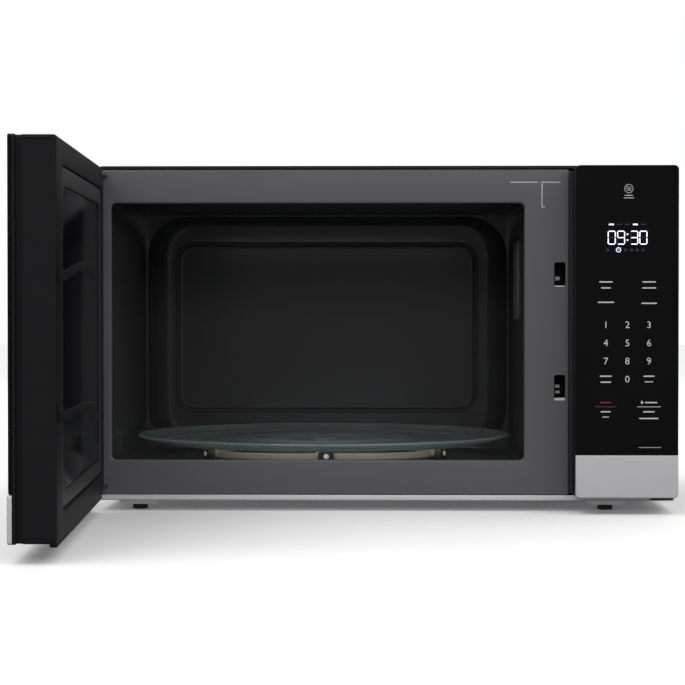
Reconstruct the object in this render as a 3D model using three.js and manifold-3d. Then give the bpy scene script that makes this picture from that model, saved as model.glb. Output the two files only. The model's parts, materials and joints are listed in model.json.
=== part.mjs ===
// Countertop microwave oven with its door open, in millimetres, +Z up.
// X runs across the front, Y from front to back. While it is being laid out, X = 0 is the middle of
// the body, Y = 0 the front face of the cavity frame and Z = 0 the surface that the oven stands on.
// At the end the whole oven is moved so that the origin is the bottom centre of its bounding box.
import * as THREE from 'three';
import { mergeVertices } from 'three/addons/utils/BufferGeometryUtils.js';
import Module from 'manifold-3d';

const wasm = await Module();
wasm.setup();

// ---- driving dimensions ----
const GAP = 0.3;            // air between pieces that bear on each other
const SHEET = 0.7;          // thickness of the pressed steel parts
const HALF_WIDTH = 303.5;   // half the width of the body
const BODY_TOP = 364.4;
const BODY_BACK = 453;
const PAN_UNDERSIDE = 11.3; // underside of the base pan
const FRAME_BOTTOM = 17.4;
const FRAME_TOP = 360.2;
const CAVITY_FLOOR = 42;    // top of the cavity's floor
const TRAY_CENTRE = [-72, 220];
const DOOR_PIN = [-300.8, -4.2];
const DOOR_OPEN_DEG = 87.4; // how far the door stands open
const STEEL = { color: 0x606064, roughness: 0.45, metalness: 0.4 };
const ZINC = { color: 0xbababd, roughness: 0.4, metalness: 0.8 };
const BLACK_PAINT = { color: 0x151516, roughness: 0.55, metalness: 0.2 };
const BLACK_PLASTIC = { color: 0x1c1c1e, roughness: 0.6, metalness: 0 };
const WHITE_PLASTIC = { color: 0xe6e4dc, roughness: 0.6, metalness: 0 };
const BLACK_GLASS = { color: 0x08080a, roughness: 0.08, metalness: 0 };
const SILVER_TRIM = { color: 0xb9b9bc, roughness: 0.35, metalness: 0.7 };
const RUBBER = { color: 0x101010, roughness: 0.85, metalness: 0 };
const BOARD = { color: 0x2c5a34, roughness: 0.6, metalness: 0 };
const CLEAR_GLASS = { color: 0xc6ddd6, roughness: 0.05, metalness: 0, transparent: true, opacity: 0.4 };
const RING_PLASTIC = { color: 0x8e8a80, roughness: 0.6, metalness: 0 };
const ALUMINIUM = { color: 0xc4c6c8, roughness: 0.4, metalness: 0.9 };
const COPPER_COIL = { color: 0xb87333, roughness: 0.45, metalness: 0.8 };
const MICA = { color: 0xb9ad92, roughness: 0.6, metalness: 0 };

// ---- solids ----

// A closed solid from any three.js geometry; one listed inside out is turned the right way round.
function solid(geometry) {
  geometry.deleteAttribute('normal');
  geometry.deleteAttribute('uv');
  const merged = mergeVertices(geometry, 1e-4);
  const points = merged.attributes.position.array;
  const corners = merged.index.array;
  const triangles = [];
  let volume = 0;
  for (let i = 0; i < corners.length; i += 3) {
    const [a, b, c] = [corners[i], corners[i + 1], corners[i + 2]];
    if (a === b || b === c || c === a) continue;
    triangles.push(a, b, c);
    const [p, q, r] = [a, b, c].map((k) => new THREE.Vector3().fromArray(points, 3 * k));
    volume += p.dot(q.cross(r));
  }
  const triVerts = new Uint32Array(volume < 0 ? triangles.reverse() : triangles);
  const vertProperties = new Float32Array(points);
  return new wasm.Manifold(new wasm.Mesh({ numProp: 3, vertProperties, triVerts }));
}

function joined(first, ...others) {
  return others.reduce((whole, other) => whole.add(other), first);
}

function cut(first, ...others) {
  return others.reduce((whole, other) => whole.subtract(other), first);
}

function block([x0, x1], [y0, y1], [z0, z1]) {
  const geometry = new THREE.BoxGeometry(x1 - x0, y1 - y0, z1 - z0);
  geometry.translate((x0 + x1) / 2, (y0 + y1) / 2, (z0 + z1) / 2);
  return solid(geometry);
}

// A flat outline pulled along an axis. The outline's two directions are X and Z for axis Y,
// X and Y for axis Z, and Y and Z for axis X.
function pulled(outline, axis, [low, high], curveSegments = 2) {
  const options = { depth: high - low, bevelEnabled: false, curveSegments };
  const geometry = new THREE.ExtrudeGeometry(outline, options);
  if (axis === 'z') {
    geometry.translate(0, 0, low);
  } else if (axis === 'y') {
    geometry.rotateX(Math.PI / 2);
    geometry.translate(0, high, 0);
  } else {
    const alongX = new THREE.Vector3(1, 0, 0);
    const alongY = new THREE.Vector3(0, 1, 0);
    const alongZ = new THREE.Vector3(0, 0, 1);
    geometry.applyMatrix4(new THREE.Matrix4().makeBasis(alongY, alongZ, alongX));
    geometry.translate(low, 0, 0);
  }
  return solid(geometry);
}

function roundedRectangle([a0, a1], [b0, b1], radius) {
  const outline = new THREE.Shape();
  const turn = Math.PI / 2;
  outline.absarc(a1 - radius, b0 + radius, radius, -turn, 0);
  outline.absarc(a1 - radius, b1 - radius, radius, 0, turn);
  outline.absarc(a0 + radius, b1 - radius, radius, turn, 2 * turn);
  outline.absarc(a0 + radius, b0 + radius, radius, 2 * turn, 3 * turn);
  outline.closePath();
  return outline;
}

function roundedBlock(axis, a, b, along, radius, curveSegments) {
  return pulled(roundedRectangle(a, b, radius), axis, along, curveSegments);
}

function polygon(points) {
  return new THREE.Shape(points.map(([a, b]) => new THREE.Vector2(a, b)));
}

// A round bar along an axis. Its centre is given in the other two axes, in X, Y, Z order.
function rod(axis, radius, [low, high], [c1, c2], sides = 20) {
  const geometry = new THREE.CylinderGeometry(radius, radius, high - low, sides);
  const middle = (low + high) / 2;
  if (axis === 'y') {
    geometry.translate(c1, middle, c2);
  } else if (axis === 'z') {
    geometry.rotateX(Math.PI / 2);
    geometry.translate(c1, c2, middle);
  } else {
    geometry.rotateZ(Math.PI / 2);
    geometry.translate(middle, c1, c2);
  }
  return solid(geometry);
}

// A turned solid about the vertical line through [x, y], from a profile of [radius, height] points.
function turned(profile, [x, y], sides = 24) {
  const geometry = new THREE.LatheGeometry(profile.map(([r, z]) => new THREE.Vector2(r, z)), sides);
  geometry.rotateX(Math.PI / 2);
  geometry.translate(x, y, 0);
  return solid(geometry);
}

function piece(parent, name, shape, look) {
  const { vertProperties, triVerts } = shape.getMesh();
  const geometry = new THREE.BufferGeometry();
  geometry.setAttribute('position', new THREE.BufferAttribute(new Float32Array(vertProperties), 3));
  geometry.setIndex(new THREE.BufferAttribute(new Uint32Array(triVerts), 1));
  geometry.computeVertexNormals();
  const mesh = new THREE.Mesh(geometry, new THREE.MeshStandardMaterial(look));
  mesh.name = name;
  parent.add(mesh);
}

function inset([low, high], by) {
  return [low + by, high - by];
}

const oven = new THREE.Group();
const cabinet = new THREE.Group();
oven.add(cabinet);

// ---- outer casing: one sheet folded over the top and both sides ----
function makeOuterCasing() {
  const wide = [-HALF_WIDTH, HALF_WIDTH];
  const inner = [-HALF_WIDTH + SHEET, HALF_WIDTH - SHEET];
  const front = 1.6;
  const cornerRadius = 4;
  const tall = [PAN_UNDERSIDE - 5 * cornerRadius, BODY_TOP];
  const hemX = [-270, 290];
  const hem = block(hemX, [front, front + SHEET], [FRAME_TOP + GAP, BODY_TOP - SHEET / 2]);
  const vents = [];
  const vent = { columns: 2, rows: 7, y: 310, pitchY: 54, length: 44, z: 70, pitchZ: 14, height: 5 };
  for (let column = 0; column < vent.columns; column += 1) {
    for (let row = 0; row < vent.rows; row += 1) {
      const y = vent.y + column * vent.pitchY;
      const z = vent.z + row * vent.pitchZ;
      vents.push(block([inner[1] - 1, wide[1] + 1], [y, y + vent.length], [z, z + vent.height]));
    }
  }
  const shell = cut(
    roundedBlock('y', wide, tall, [front, BODY_BACK], cornerRadius),
    roundedBlock('y', inner, [tall[0] - 1, BODY_TOP - SHEET], [0, BODY_BACK + 1], cornerRadius - SHEET),
    block(inset(wide, -1), [0, BODY_BACK + 1], [tall[0] - 2, PAN_UNDERSIDE + GAP]),
  );
  piece(cabinet, 'outer_casing', cut(joined(shell, hem), ...vents), BLACK_PAINT);
}

// ---- rear panel: flat sheet with a hollow bulge over the fan and two stand-offs ----
const REAR = { front: 449, bulgeBack: 462, corner: 3 };
const GLAND = { at: [118, 62], hole: 7.6, flange: 11, nut: 10, lead: 4, outside: 7, inside: 7 };

function makeRearPanel() {
  const edge = HALF_WIDTH - SHEET - GAP;
  const tall = [PAN_UNDERSIDE + SHEET + GAP, BODY_TOP - SHEET - GAP];
  const plate = roundedBlock('y', [-edge, edge], tall, [REAR.front, REAR.front + SHEET], REAR.corner);
  const bulges = [
    { x: [158, 292], z: [70, 338], radius: 12 },
    { x: [-286, -252], z: [74, 108], radius: 8 },
    { x: [-286, -252], z: [272, 306], radius: 8 },
  ];
  let panel = plate;
  for (const { x, z, radius } of bulges) {
    panel = panel.add(roundedBlock('y', x, z, [REAR.front, REAR.bulgeBack], radius));
    const hollow = [REAR.front - 1, REAR.bulgeBack - SHEET];
    panel = panel.subtract(roundedBlock('y', inset(x, SHEET), inset(z, SHEET), hollow, radius - SHEET));
  }
  const vent = { columns: 2, rows: 7, x: 172, pitchX: 58, length: 48, z: 100, pitchZ: 32, height: 6 };
  const throughBulge = [REAR.bulgeBack - 3, REAR.bulgeBack + 1];
  for (let column = 0; column < vent.columns; column += 1) {
    for (let row = 0; row < vent.rows; row += 1) {
      const x = vent.x + column * vent.pitchX;
      const z = vent.z + row * vent.pitchZ;
      panel = panel.subtract(block([x, x + vent.length], throughBulge, [z, z + vent.height]));
    }
  }
  const glandHole = rod('y', GLAND.hole, [REAR.front - 1, REAR.front + 2], GLAND.at);
  piece(cabinet, 'rear_panel', panel.subtract(glandHole), BLACK_PAINT);
}

function makeCordGland() {
  const { at, hole, flange, nut, lead, outside, inside } = GLAND;
  const back = REAR.front + outside;
  const gland = joined(
    rod('y', hole - GAP, [REAR.front - 1, REAR.front + SHEET + 1], at),
    rod('y', flange, [REAR.front + SHEET + GAP, back], at),
    rod('y', nut, [REAR.front - inside, REAR.front - GAP], at),
  );
  const leadHole = rod('y', lead, [REAR.front - inside - 1, back + 1], at, 12);
  piece(cabinet, 'cord_gland', gland.subtract(leadHole), BLACK_PLASTIC);
}

// ---- base pan with four pressed foot bumps, and the feet ----
const PAN = { lipRight: 279, sideStart: 20, sideHeight: 14 };
const FOOT = { x: [-262.7, 233.9], y: [30, 410], radius: 8.25, top: 5.7, stem: 3 };
const BUMP = { bottom: 6, topHalf: 22, bottomHalf: 17.5 };

function footBump([x, y], grow) {
  const topRadius = (BUMP.topHalf + grow) * Math.SQRT2;
  const bottomRadius = (BUMP.bottomHalf + grow) * Math.SQRT2;
  const height = PAN_UNDERSIDE + SHEET - BUMP.bottom;
  const bump = new THREE.CylinderGeometry(topRadius, bottomRadius, height, 4);
  bump.rotateY(Math.PI / 4);
  bump.rotateX(Math.PI / 2);
  bump.translate(x, y, BUMP.bottom + height / 2 - grow);
  return solid(bump);
}

function makeBasePan() {
  const edge = HALF_WIDTH - SHEET - GAP;
  const frontEdge = GAP;
  const backEdge = REAR.front - GAP;
  const floor = [PAN_UNDERSIDE, PAN_UNDERSIDE + SHEET];
  const side = [PAN_UNDERSIDE, PAN_UNDERSIDE + PAN.sideHeight];
  let pan = joined(
    block([-edge, edge], [frontEdge, backEdge], floor),
    block([-edge, PAN.lipRight], [frontEdge, frontEdge + SHEET], [PAN_UNDERSIDE, FRAME_BOTTOM - GAP]),
    block([-edge, -edge + SHEET], [PAN.sideStart, backEdge], side),
    block([edge - SHEET, edge], [PAN.sideStart, backEdge], side),
  );
  const hollows = [];
  for (const x of FOOT.x) {
    for (const y of FOOT.y) {
      pan = pan.add(footBump([x, y], 0));
      hollows.push(footBump([x, y], -SHEET), rod('z', FOOT.stem + GAP, [0, floor[1]], [x, y], 12));
    }
  }
  const vent = { count: 8, firstX: 160, pitchX: 15, width: 5, y: [120, 190] };
  for (let i = 0; i < vent.count; i += 1) {
    const x = vent.firstX + i * vent.pitchX;
    hollows.push(block([x, x + vent.width], vent.y, [PAN_UNDERSIDE - 1, PAN_UNDERSIDE + 2]));
  }
  piece(cabinet, 'base_pan', cut(pan, ...hollows), ZINC);
}

function makeFeet() {
  const names = [['front_left_foot', 'rear_left_foot'], ['front_right_foot', 'rear_right_foot']];
  const { radius, top, stem } = FOOT;
  const chamfer = 1.2;
  const barb = { z: BUMP.bottom + SHEET + GAP, step: 0.2, height: 3.5, out: 1 };
  const profile = [
    [0, 0], [radius - chamfer, 0], [radius, chamfer], [radius - chamfer / 2, top], [stem, top],
    [stem, barb.z], [stem + barb.out, barb.z + barb.step], [stem - barb.out, barb.z + barb.height],
    [0, barb.z + barb.height],
  ];
  FOOT.x.forEach((x, i) => {
    FOOT.y.forEach((y, j) => piece(cabinet, names[i][j], turned(profile, [x, y], 12), RUBBER));
  });
}

// ---- front frame: pressed plate around the cavity mouth, and the plate with the latch slots ----
const MOUTH = { x: [-289.9, 145.8], z: [53.9, 324.9], radius: 5, lipDepth: 4.5 };
const LATCH_PLATE = { x: [163.6, 191.5], z: [100, 280] };
const FRAME_RIGHT = 192.8;
const LATCH_SLOTS = { x: [177.4, 189.1], z: [[236.9, 262.7], [117.1, 144.1]] };
const BRACKET = { x: [-305, -294.3], round: 6.2, thickness: 2.5, bottoms: [352.7, 24.6] };

function makeFrontFrame() {
  const through = [-5, 20];
  const flange = { left: -270, depth: 12 };
  const top = [FRAME_TOP - SHEET, FRAME_TOP];
  const lip = [0, MOUTH.lipDepth];
  const step = { back: 3.5, right: 302, window: { x: [214, 288], z: [60, 345], radius: 6 } };
  const frame = cut(
    joined(
      block([-HALF_WIDTH, FRAME_RIGHT], [0, SHEET], [FRAME_BOTTOM, FRAME_TOP]),
      block([FRAME_RIGHT - SHEET, FRAME_RIGHT], [0, step.back + SHEET], [FRAME_BOTTOM, FRAME_TOP]),
      block([FRAME_RIGHT - SHEET / 2, step.right], [step.back, step.back + SHEET], [FRAME_BOTTOM, FRAME_TOP]),
      block([flange.left, FRAME_RIGHT - SHEET / 2], [SHEET / 2, flange.depth], top),
      roundedBlock('y', inset(MOUTH.x, -SHEET), inset(MOUTH.z, -SHEET), lip, MOUTH.radius + SHEET, 3),
    ),
    roundedBlock('y', MOUTH.x, MOUTH.z, through, MOUTH.radius, 3),
    roundedBlock('y', step.window.x, step.window.z, through, step.window.radius),
    block(inset(LATCH_PLATE.x, -GAP), through, inset(LATCH_PLATE.z, -GAP)),
    ...BRACKET.bottoms.map((bottom) => {
      const notch = [bottom - GAP, bottom + BRACKET.thickness + GAP];
      return block([-HALF_WIDTH - 1, BRACKET.x[1] + GAP], through, notch);
    }),
  );
  piece(cabinet, 'front_frame', frame, STEEL);

  const plate = cut(
    block(LATCH_PLATE.x, [0, SHEET], LATCH_PLATE.z),
    ...LATCH_SLOTS.z.map((z) => block(LATCH_SLOTS.x, through, z)),
  );
  piece(cabinet, 'latch_plate', plate, STEEL);
}

// ---- hinge brackets fixed behind the frame, each with its pin ----
function makeHinges() {
  const legs = { x: [-300, -275], y: [SHEET + GAP, 3.3], z: [[330, 360], [19.1, 41]] };
  const names = ['upper', 'lower'];
  const [pinX, pinY] = DOOR_PIN;
  const pin = { radius: 2, head: 3.4, headHeight: 1.1, reach: 14 };
  BRACKET.bottoms.forEach((bottom, i) => {
    const tongue = [bottom, bottom + BRACKET.thickness];
    const bracket = joined(
      block(BRACKET.x, [pinY, -GAP], tongue),
      block([-HALF_WIDTH + SHEET + GAP, BRACKET.x[1]], [-SHEET, legs.y[1]], tongue),
      rod('z', BRACKET.round, tongue, DOOR_PIN, 24).intersect(block([BRACKET.x[0], 0], [-20, -GAP], tongue)),
      block(legs.x, legs.y, legs.z[i]),
    );
    const hole = rod('z', pin.radius + GAP, [bottom - 1, bottom + 5], DOOR_PIN, 12);
    piece(cabinet, `${names[i]}_hinge_bracket`, bracket.subtract(hole), ZINC);
    const inward = i === 0 ? -1 : 1;
    const outer = i === 0 ? tongue[1] + GAP : tongue[0] - GAP;
    const shaft = [outer, outer + inward * (BRACKET.thickness + pin.reach)].sort((a, b) => a - b);
    const head = [outer, outer - inward * pin.headHeight].sort((a, b) => a - b);
    const pinShape = joined(
      rod('z', pin.radius, shaft, [pinX, pinY], 12),
      rod('z', pin.head, head, [pinX, pinY], 12),
    );
    piece(cabinet, `${names[i]}_hinge_pin`, pinShape, ALUMINIUM);
  });
}

// ---- cavity liner: pressed box with round back corners and a pressed panel in its back wall ----
const LINER = { x: [-293.3, 149.3], back: 438, z: [CAVITY_FLOOR, 326.5], corner: 50, front: SHEET + GAP };
const WAVE_OPENING = { y: [160, 250], z: [210, 280] };
const LAMP = { y: 90, z: 308, hole: 11 };
const DRIVE_HOLE = 11;

function linerSolid(grow) {
  const [left, right] = [LINER.x[0] - grow, LINER.x[1] + grow];
  const back = LINER.back + grow;
  const radius = LINER.corner + grow;
  const front = grow ? LINER.front : LINER.front - 5;
  const outline = new THREE.Shape();
  outline.moveTo(left, front);
  outline.lineTo(right, front);
  outline.absarc(right - radius, back - radius, radius, 0, Math.PI / 2);
  outline.absarc(left + radius, back - radius, radius, Math.PI / 2, Math.PI);
  outline.closePath();
  return pulled(outline, 'z', [LINER.z[0] - grow, LINER.z[1] + grow], 4);
}

function makeCavityLiner() {
  const press = { x: [-263, 115], z: [83, 295], radius: 24, depth: 4 };
  const hollow = [LINER.back - 5, LINER.back + press.depth];
  const rightWall = [LINER.x[1] - 3, LINER.x[1] + 3];
  let liner = linerSolid(SHEET).add(
    roundedBlock('y', press.x, press.z, [LINER.back, LINER.back + press.depth + SHEET], press.radius, 3),
  );
  liner = cut(
    liner,
    linerSolid(0),
    roundedBlock('y', inset(press.x, SHEET), inset(press.z, SHEET), hollow, press.radius - SHEET, 3),
    rod('z', DRIVE_HOLE, [CAVITY_FLOOR - 5, CAVITY_FLOOR + 5], TRAY_CENTRE, 20),
    block(rightWall, WAVE_OPENING.y, WAVE_OPENING.z),
    rod('x', LAMP.hole, rightWall, [LAMP.y, LAMP.z], 16),
  );
  piece(cabinet, 'cavity_liner', liner, STEEL);
}

function makeWaveguideCover() {
  const cover = { overlap: 9, thickness: 0.8, corner: 6 };
  const inner = LINER.x[1] - GAP;
  const y = inset(WAVE_OPENING.y, -cover.overlap);
  const z = inset(WAVE_OPENING.z, -cover.overlap);
  const sheet = roundedBlock('x', y, z, [inner - cover.thickness, inner], cover.corner, 1);
  piece(cabinet, 'waveguide_cover', sheet, MICA);
}

// ---- microwave source: waveguide, magnetron, inverter ----
const GUIDE = { x: [LINER.x[1] + SHEET + GAP, 186], y: [155, 330], z: [205, 285] };
const ANTENNA = { y: 297, z: 245, radius: 7.5 };

function makeWaveguide() {
  const guide = cut(
    block(GUIDE.x, GUIDE.y, GUIDE.z),
    block([GUIDE.x[0] - 1, GUIDE.x[1] - SHEET], inset(GUIDE.y, SHEET), inset(GUIDE.z, SHEET)),
    rod('x', ANTENNA.radius + 3, [GUIDE.x[1] - 3, GUIDE.x[1] + 3], [ANTENNA.y, ANTENNA.z]),
  );
  piece(cabinet, 'waveguide', guide, ZINC);
}

function makeMagnetron() {
  const start = GUIDE.x[1] + GAP;
  const yoke = { x: [start + 3, start + 70], y: [255, 338], z: [208, 282], wall: 2.5 };
  const mount = { x: [start, start + 3.5], y: [258, 336], z: [206, 284] };
  const antenna = [start - 22, start + 4];
  const anode = { radius: 17, x: [start + 1, yoke.x[1]] };
  const filterBox = { x: [yoke.x[1] - 1, yoke.x[1] + 24], y: [272, 322], z: [222, 268] };
  const fins = { count: 5, first: start + 14, pitch: 11, thickness: 1.5, y: [260, 334] };
  const axis = [ANTENNA.y, ANTENNA.z];
  const window = block(inset(yoke.x, yoke.wall), inset(yoke.y, -1), inset(yoke.z, yoke.wall));
  let body = joined(
    cut(block(yoke.x, yoke.y, yoke.z), window),
    block(mount.x, mount.y, mount.z),
    rod('x', ANTENNA.radius, antenna, axis, 16),
    rod('x', anode.radius, anode.x, axis, 16),
    block(filterBox.x, filterBox.y, filterBox.z),
  );
  for (let i = 0; i < fins.count; i += 1) {
    const x = fins.first + i * fins.pitch;
    body = body.add(block([x, x + fins.thickness], fins.y, inset(yoke.z, 1)));
  }
  piece(cabinet, 'magnetron', body, ALUMINIUM);
}

function makeInverter() {
  const pcb = { x: [165, 297], y: [62, 248], z: [24, 25.6] };
  const boardTop = pcb.z[1];
  const standoff = { radius: 3, at: [[172, 70], [290, 70], [172, 240], [290, 240]] };
  const capacitor = { radius: 10, top: 55, at: [[180, 200], [180, 225]] };
  const legSpan = [PAN_UNDERSIDE + SHEET + GAP, boardTop];
  const legs = standoff.at.map((at) => rod('z', standoff.radius, legSpan, at, 8));
  const cans = capacitor.at.map((at) => rod('z', capacitor.radius, [boardTop - 0.5, capacitor.top], at, 12));
  const board = joined(block(pcb.x, pcb.y, pcb.z), ...legs, ...cans);
  piece(cabinet, 'inverter_board', board, BOARD);

  const sink = { x: [200, 240], y: [80, 160], base: boardTop + GAP, plate: 6, top: 72, fins: 6, fin: 2 };
  let heatSink = block(sink.x, sink.y, [sink.base, sink.base + sink.plate]);
  const pitch = (sink.x[1] - sink.x[0] - sink.fin) / (sink.fins - 1);
  for (let i = 0; i < sink.fins; i += 1) {
    const x = sink.x[0] + i * pitch;
    heatSink = heatSink.add(block([x, x + sink.fin], sink.y, [sink.base, sink.top]));
  }
  piece(cabinet, 'inverter_heat_sink', heatSink, ALUMINIUM);

  const coil = { at: [265, 190], radius: 19, z: [30, 66] };
  const foot = { x: [243, 287], y: [168, 212], z: [boardTop + GAP, 31] };
  const core = { x: [251, 279], y: [165, 215], z: [64, 76] };
  const transformer = joined(
    block(foot.x, foot.y, foot.z),
    rod('z', coil.radius, coil.z, coil.at, 20),
    block(core.x, core.y, core.z),
  );
  piece(cabinet, 'inverter_transformer', transformer, COPPER_COIL);
}

// ---- cooling fan: shroud, motor and blades on one axis along Y ----
const FAN = { x: 228, z: 245, blade: 52, hub: 12, y: [404, 424] };

function makeFan(parent) {
  const centre = [FAN.x, FAN.z];
  const shroud = { x: [162, 294], y: [432, 434], z: [179, 311], start: 402, bore: FAN.blade + 3, wall: 2 };
  const shroudShape = cut(
    joined(
      block(shroud.x, shroud.y, shroud.z),
      rod('y', shroud.bore + shroud.wall, [shroud.start, shroud.y[1]], centre, 28),
    ),
    rod('y', shroud.bore, [shroud.start - 1, shroud.y[1] + 1], centre, 28),
  );
  piece(cabinet, 'fan_shroud', shroudShape, BLACK_PLASTIC);

  const stack = { x: [FAN.x - 30, FAN.x + 30], y: [372, 392], z: [FAN.z - 26, FAN.z + 34] };
  const strap = { x: [FAN.x - 60, FAN.x + 60], y: [384, 386], z: [FAN.z - 5, FAN.z + 5] };
  const bell = { radius: 14, y: [366, 398] };
  const shaft = { radius: 2, y: [396, 422] };
  const motor = joined(
    block(stack.x, stack.y, stack.z),
    rod('y', bell.radius, bell.y, centre, 16),
    rod('y', shaft.radius, shaft.y, centre, 10),
    block(strap.x, strap.y, strap.z),
  );
  piece(cabinet, 'fan_motor', motor, ZINC);

  const vane = { count: 7, thickness: 1.6, chord: 30, pitchDeg: 55, overlap: 2 };
  const hubCap = 1.4;
  let blades = cut(
    rod('y', FAN.hub, FAN.y, centre, 20),
    rod('y', shaft.radius + GAP, [FAN.y[0] - 1, FAN.y[1] - hubCap], centre, 12),
  );
  for (let i = 0; i < vane.count; i += 1) {
    const length = FAN.blade - FAN.hub + vane.overlap;
    const blade = new THREE.BoxGeometry(length, vane.thickness, vane.chord);
    blade.rotateX(THREE.MathUtils.degToRad(vane.pitchDeg));
    blade.translate(FAN.hub - vane.overlap + length / 2, 0, 0);
    blade.rotateY((i / vane.count) * 2 * Math.PI);
    blade.translate(FAN.x, (FAN.y[0] + FAN.y[1]) / 2, FAN.z);
    blades = blades.add(solid(blade));
  }
  const trimmed = blades.intersect(rod('y', FAN.blade, FAN.y, centre, 28));
  piece(parent, 'fan_blades', trimmed, WHITE_PLASTIC);
}

// ---- lamp, sensors and the mains filter ----
function makeSmallElectrics() {
  const lampAt = [LAMP.y, LAMP.z];
  const bulb = { start: LINER.x[1] + SHEET + 3, radius: 9, length: 20, cap: 6, capLength: 10 };
  const bulbEnd = bulb.start + bulb.length;
  const capEnd = bulbEnd + bulb.capLength - 1;
  const bulbShape = joined(
    rod('x', bulb.radius, [bulb.start, bulbEnd], lampAt),
    rod('x', bulb.cap, [bulbEnd - 1, capEnd], lampAt),
  );
  piece(cabinet, 'cavity_lamp', bulbShape, CLEAR_GLASS);
  const holder = { radius: 10, length: 22 };
  const socket = cut(
    rod('x', holder.radius, [bulbEnd + GAP, bulbEnd + holder.length], lampAt),
    rod('x', bulb.cap + GAP, [bulb.start, capEnd + GAP], lampAt),
  );
  piece(cabinet, 'lamp_socket', socket, WHITE_PLASTIC);

  const ceiling = LINER.z[1] + SHEET + GAP;
  const can = { at: [20, 120], flange: 11, flangeTop: ceiling + 1, radius: 8, top: ceiling + 8 };
  const canProfile = [
    [0, ceiling], [can.flange, ceiling], [can.flange, can.flangeTop],
    [can.radius, can.flangeTop + 0.5], [can.radius, can.top], [0, can.top],
  ];
  const blade = { offsets: [-3, 3], half: [1, 3], z: [can.top - 1, can.top + 8] };
  const cutout = joined(
    turned(canProfile, can.at, 16),
    ...blade.offsets.map((offset) => {
      const [x, y] = [can.at[0] + offset, can.at[1]];
      return block([x - blade.half[0], x + blade.half[0]], [y - blade.half[1], y + blade.half[1]], blade.z);
    }),
  );
  piece(cabinet, 'thermal_cutout', cutout, WHITE_PLASTIC);

  const sensor = { x: [-250, -214], y: [380, 404], plate: 3, radius: 9, height: 14 };
  const sensorMiddle = [(sensor.x[0] + sensor.x[1]) / 2, (sensor.y[0] + sensor.y[1]) / 2];
  const sensorShape = joined(
    block(sensor.x, sensor.y, [ceiling, ceiling + sensor.plate]),
    rod('z', sensor.radius, [ceiling + sensor.plate - 1, ceiling + sensor.height], sensorMiddle, 16),
  );
  piece(cabinet, 'humidity_sensor', sensorShape, BLACK_PLASTIC);

  const filter = { x: [168, 288], y: [345, 432], z: [334, 335.6] };
  const relay = { x: [180, 210], y: [360, 392], z: [335, 354] };
  const choke = { x: [222, 246], y: [356, 372], z: [335, 350] };
  const coil = { at: [262, 402], radius: 11, z: [335, 352] };
  const filterShape = joined(
    block(filter.x, filter.y, filter.z),
    block(relay.x, relay.y, relay.z),
    block(choke.x, choke.y, choke.z),
    rod('z', coil.radius, coil.z, coil.at, 14),
  );
  piece(cabinet, 'noise_filter_board', filterShape, BOARD);
}

// ---- control panel: plastic body, glass front, silver lower strip, board and display ----
const PANEL = { x: [196.9, 303.3], z: [17.5, 362.6], front: -36, back: 1.2, wall: 2.2, split: 62, corner: 5 };
const DISPLAY = { x: [222, 279], z: [269, 304], corner: 2 };

function makeControlPanel() {
  const hollow = [PANEL.front + PANEL.wall, PANEL.back + 1];
  const innerCorner = PANEL.corner - PANEL.wall;
  const body = cut(
    roundedBlock('y', PANEL.x, PANEL.z, [PANEL.front, PANEL.back], PANEL.corner),
    roundedBlock('y', inset(PANEL.x, PANEL.wall), inset(PANEL.z, PANEL.wall), hollow, innerCorner),
    roundedBlock('y', DISPLAY.x, DISPLAY.z, [PANEL.front - 1, PANEL.front + 5], DISPLAY.corner, 2),
  );
  piece(cabinet, 'control_panel_frame', body, BLACK_PLASTIC);

  const glassThickness = 3;
  const trimProud = 1.2;
  const glassFront = PANEL.front - glassThickness;
  const cutter = { x: inset(PANEL.x, -5), y: [glassFront - 5, PANEL.front + 1] };
  const wholeFace = roundedBlock('y', PANEL.x, PANEL.z, [glassFront, PANEL.front - GAP], PANEL.corner);
  const below = block(cutter.x, cutter.y, [0, PANEL.split + GAP]);
  piece(cabinet, 'control_panel_glass', cut(wholeFace, below), BLACK_GLASS);

  const trimFront = glassFront - trimProud;
  const wholeTrim = roundedBlock('y', PANEL.x, PANEL.z, [trimFront, PANEL.front - GAP], PANEL.corner - 0.5);
  const above = block(cutter.x, cutter.y, [PANEL.split, PANEL.z[1] + 1]);
  piece(cabinet, 'control_lower_trim', cut(wholeTrim, above), SILVER_TRIM);

  const pcb = { x: [204, 296], y: [-20, -18.4], z: [82, 344] };
  const spacer = { radius: 3, at: [[210, 90], [290, 90], [210, 336], [290, 336]] };
  const relay = { x: [225, 262], y: [-19, -6], z: [110, 140] };
  const buzzer = { radius: 8, y: [-19, 0], at: [280, 160] };
  const board = joined(
    block(pcb.x, pcb.y, pcb.z),
    ...spacer.at.map((at) => rod('y', spacer.radius, [hollow[0] + GAP, pcb.y[0] + 1], at, 8)),
    block(relay.x, relay.y, relay.z),
    rod('y', buzzer.radius, buzzer.y, buzzer.at, 12),
  );
  piece(cabinet, 'control_board', board, BOARD);

  const depth = [PANEL.front + GAP, pcb.y[0] - 1];
  const module = roundedBlock('y', inset(DISPLAY.x, GAP), inset(DISPLAY.z, GAP), depth, DISPLAY.corner - GAP);
  piece(cabinet, 'display_module', module, BLACK_GLASS);
}

// ---- interlock: latch board with catches behind the slots, three switches and their plungers ----
const SWITCH = { front: 37, depth: 15, right: 190, wellX: [180.7, 185.9], wellDepth: 6, travelOut: 4 };
const SWITCHES = [
  { name: 'primary', z: [236, 256], plunger: [244, 248] },
  { name: 'monitor', z: [128.3, 144], plunger: [129.5, 132.5] },
  { name: 'secondary', z: [112, 128], plunger: [123.5, 126.5] },
];

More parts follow.
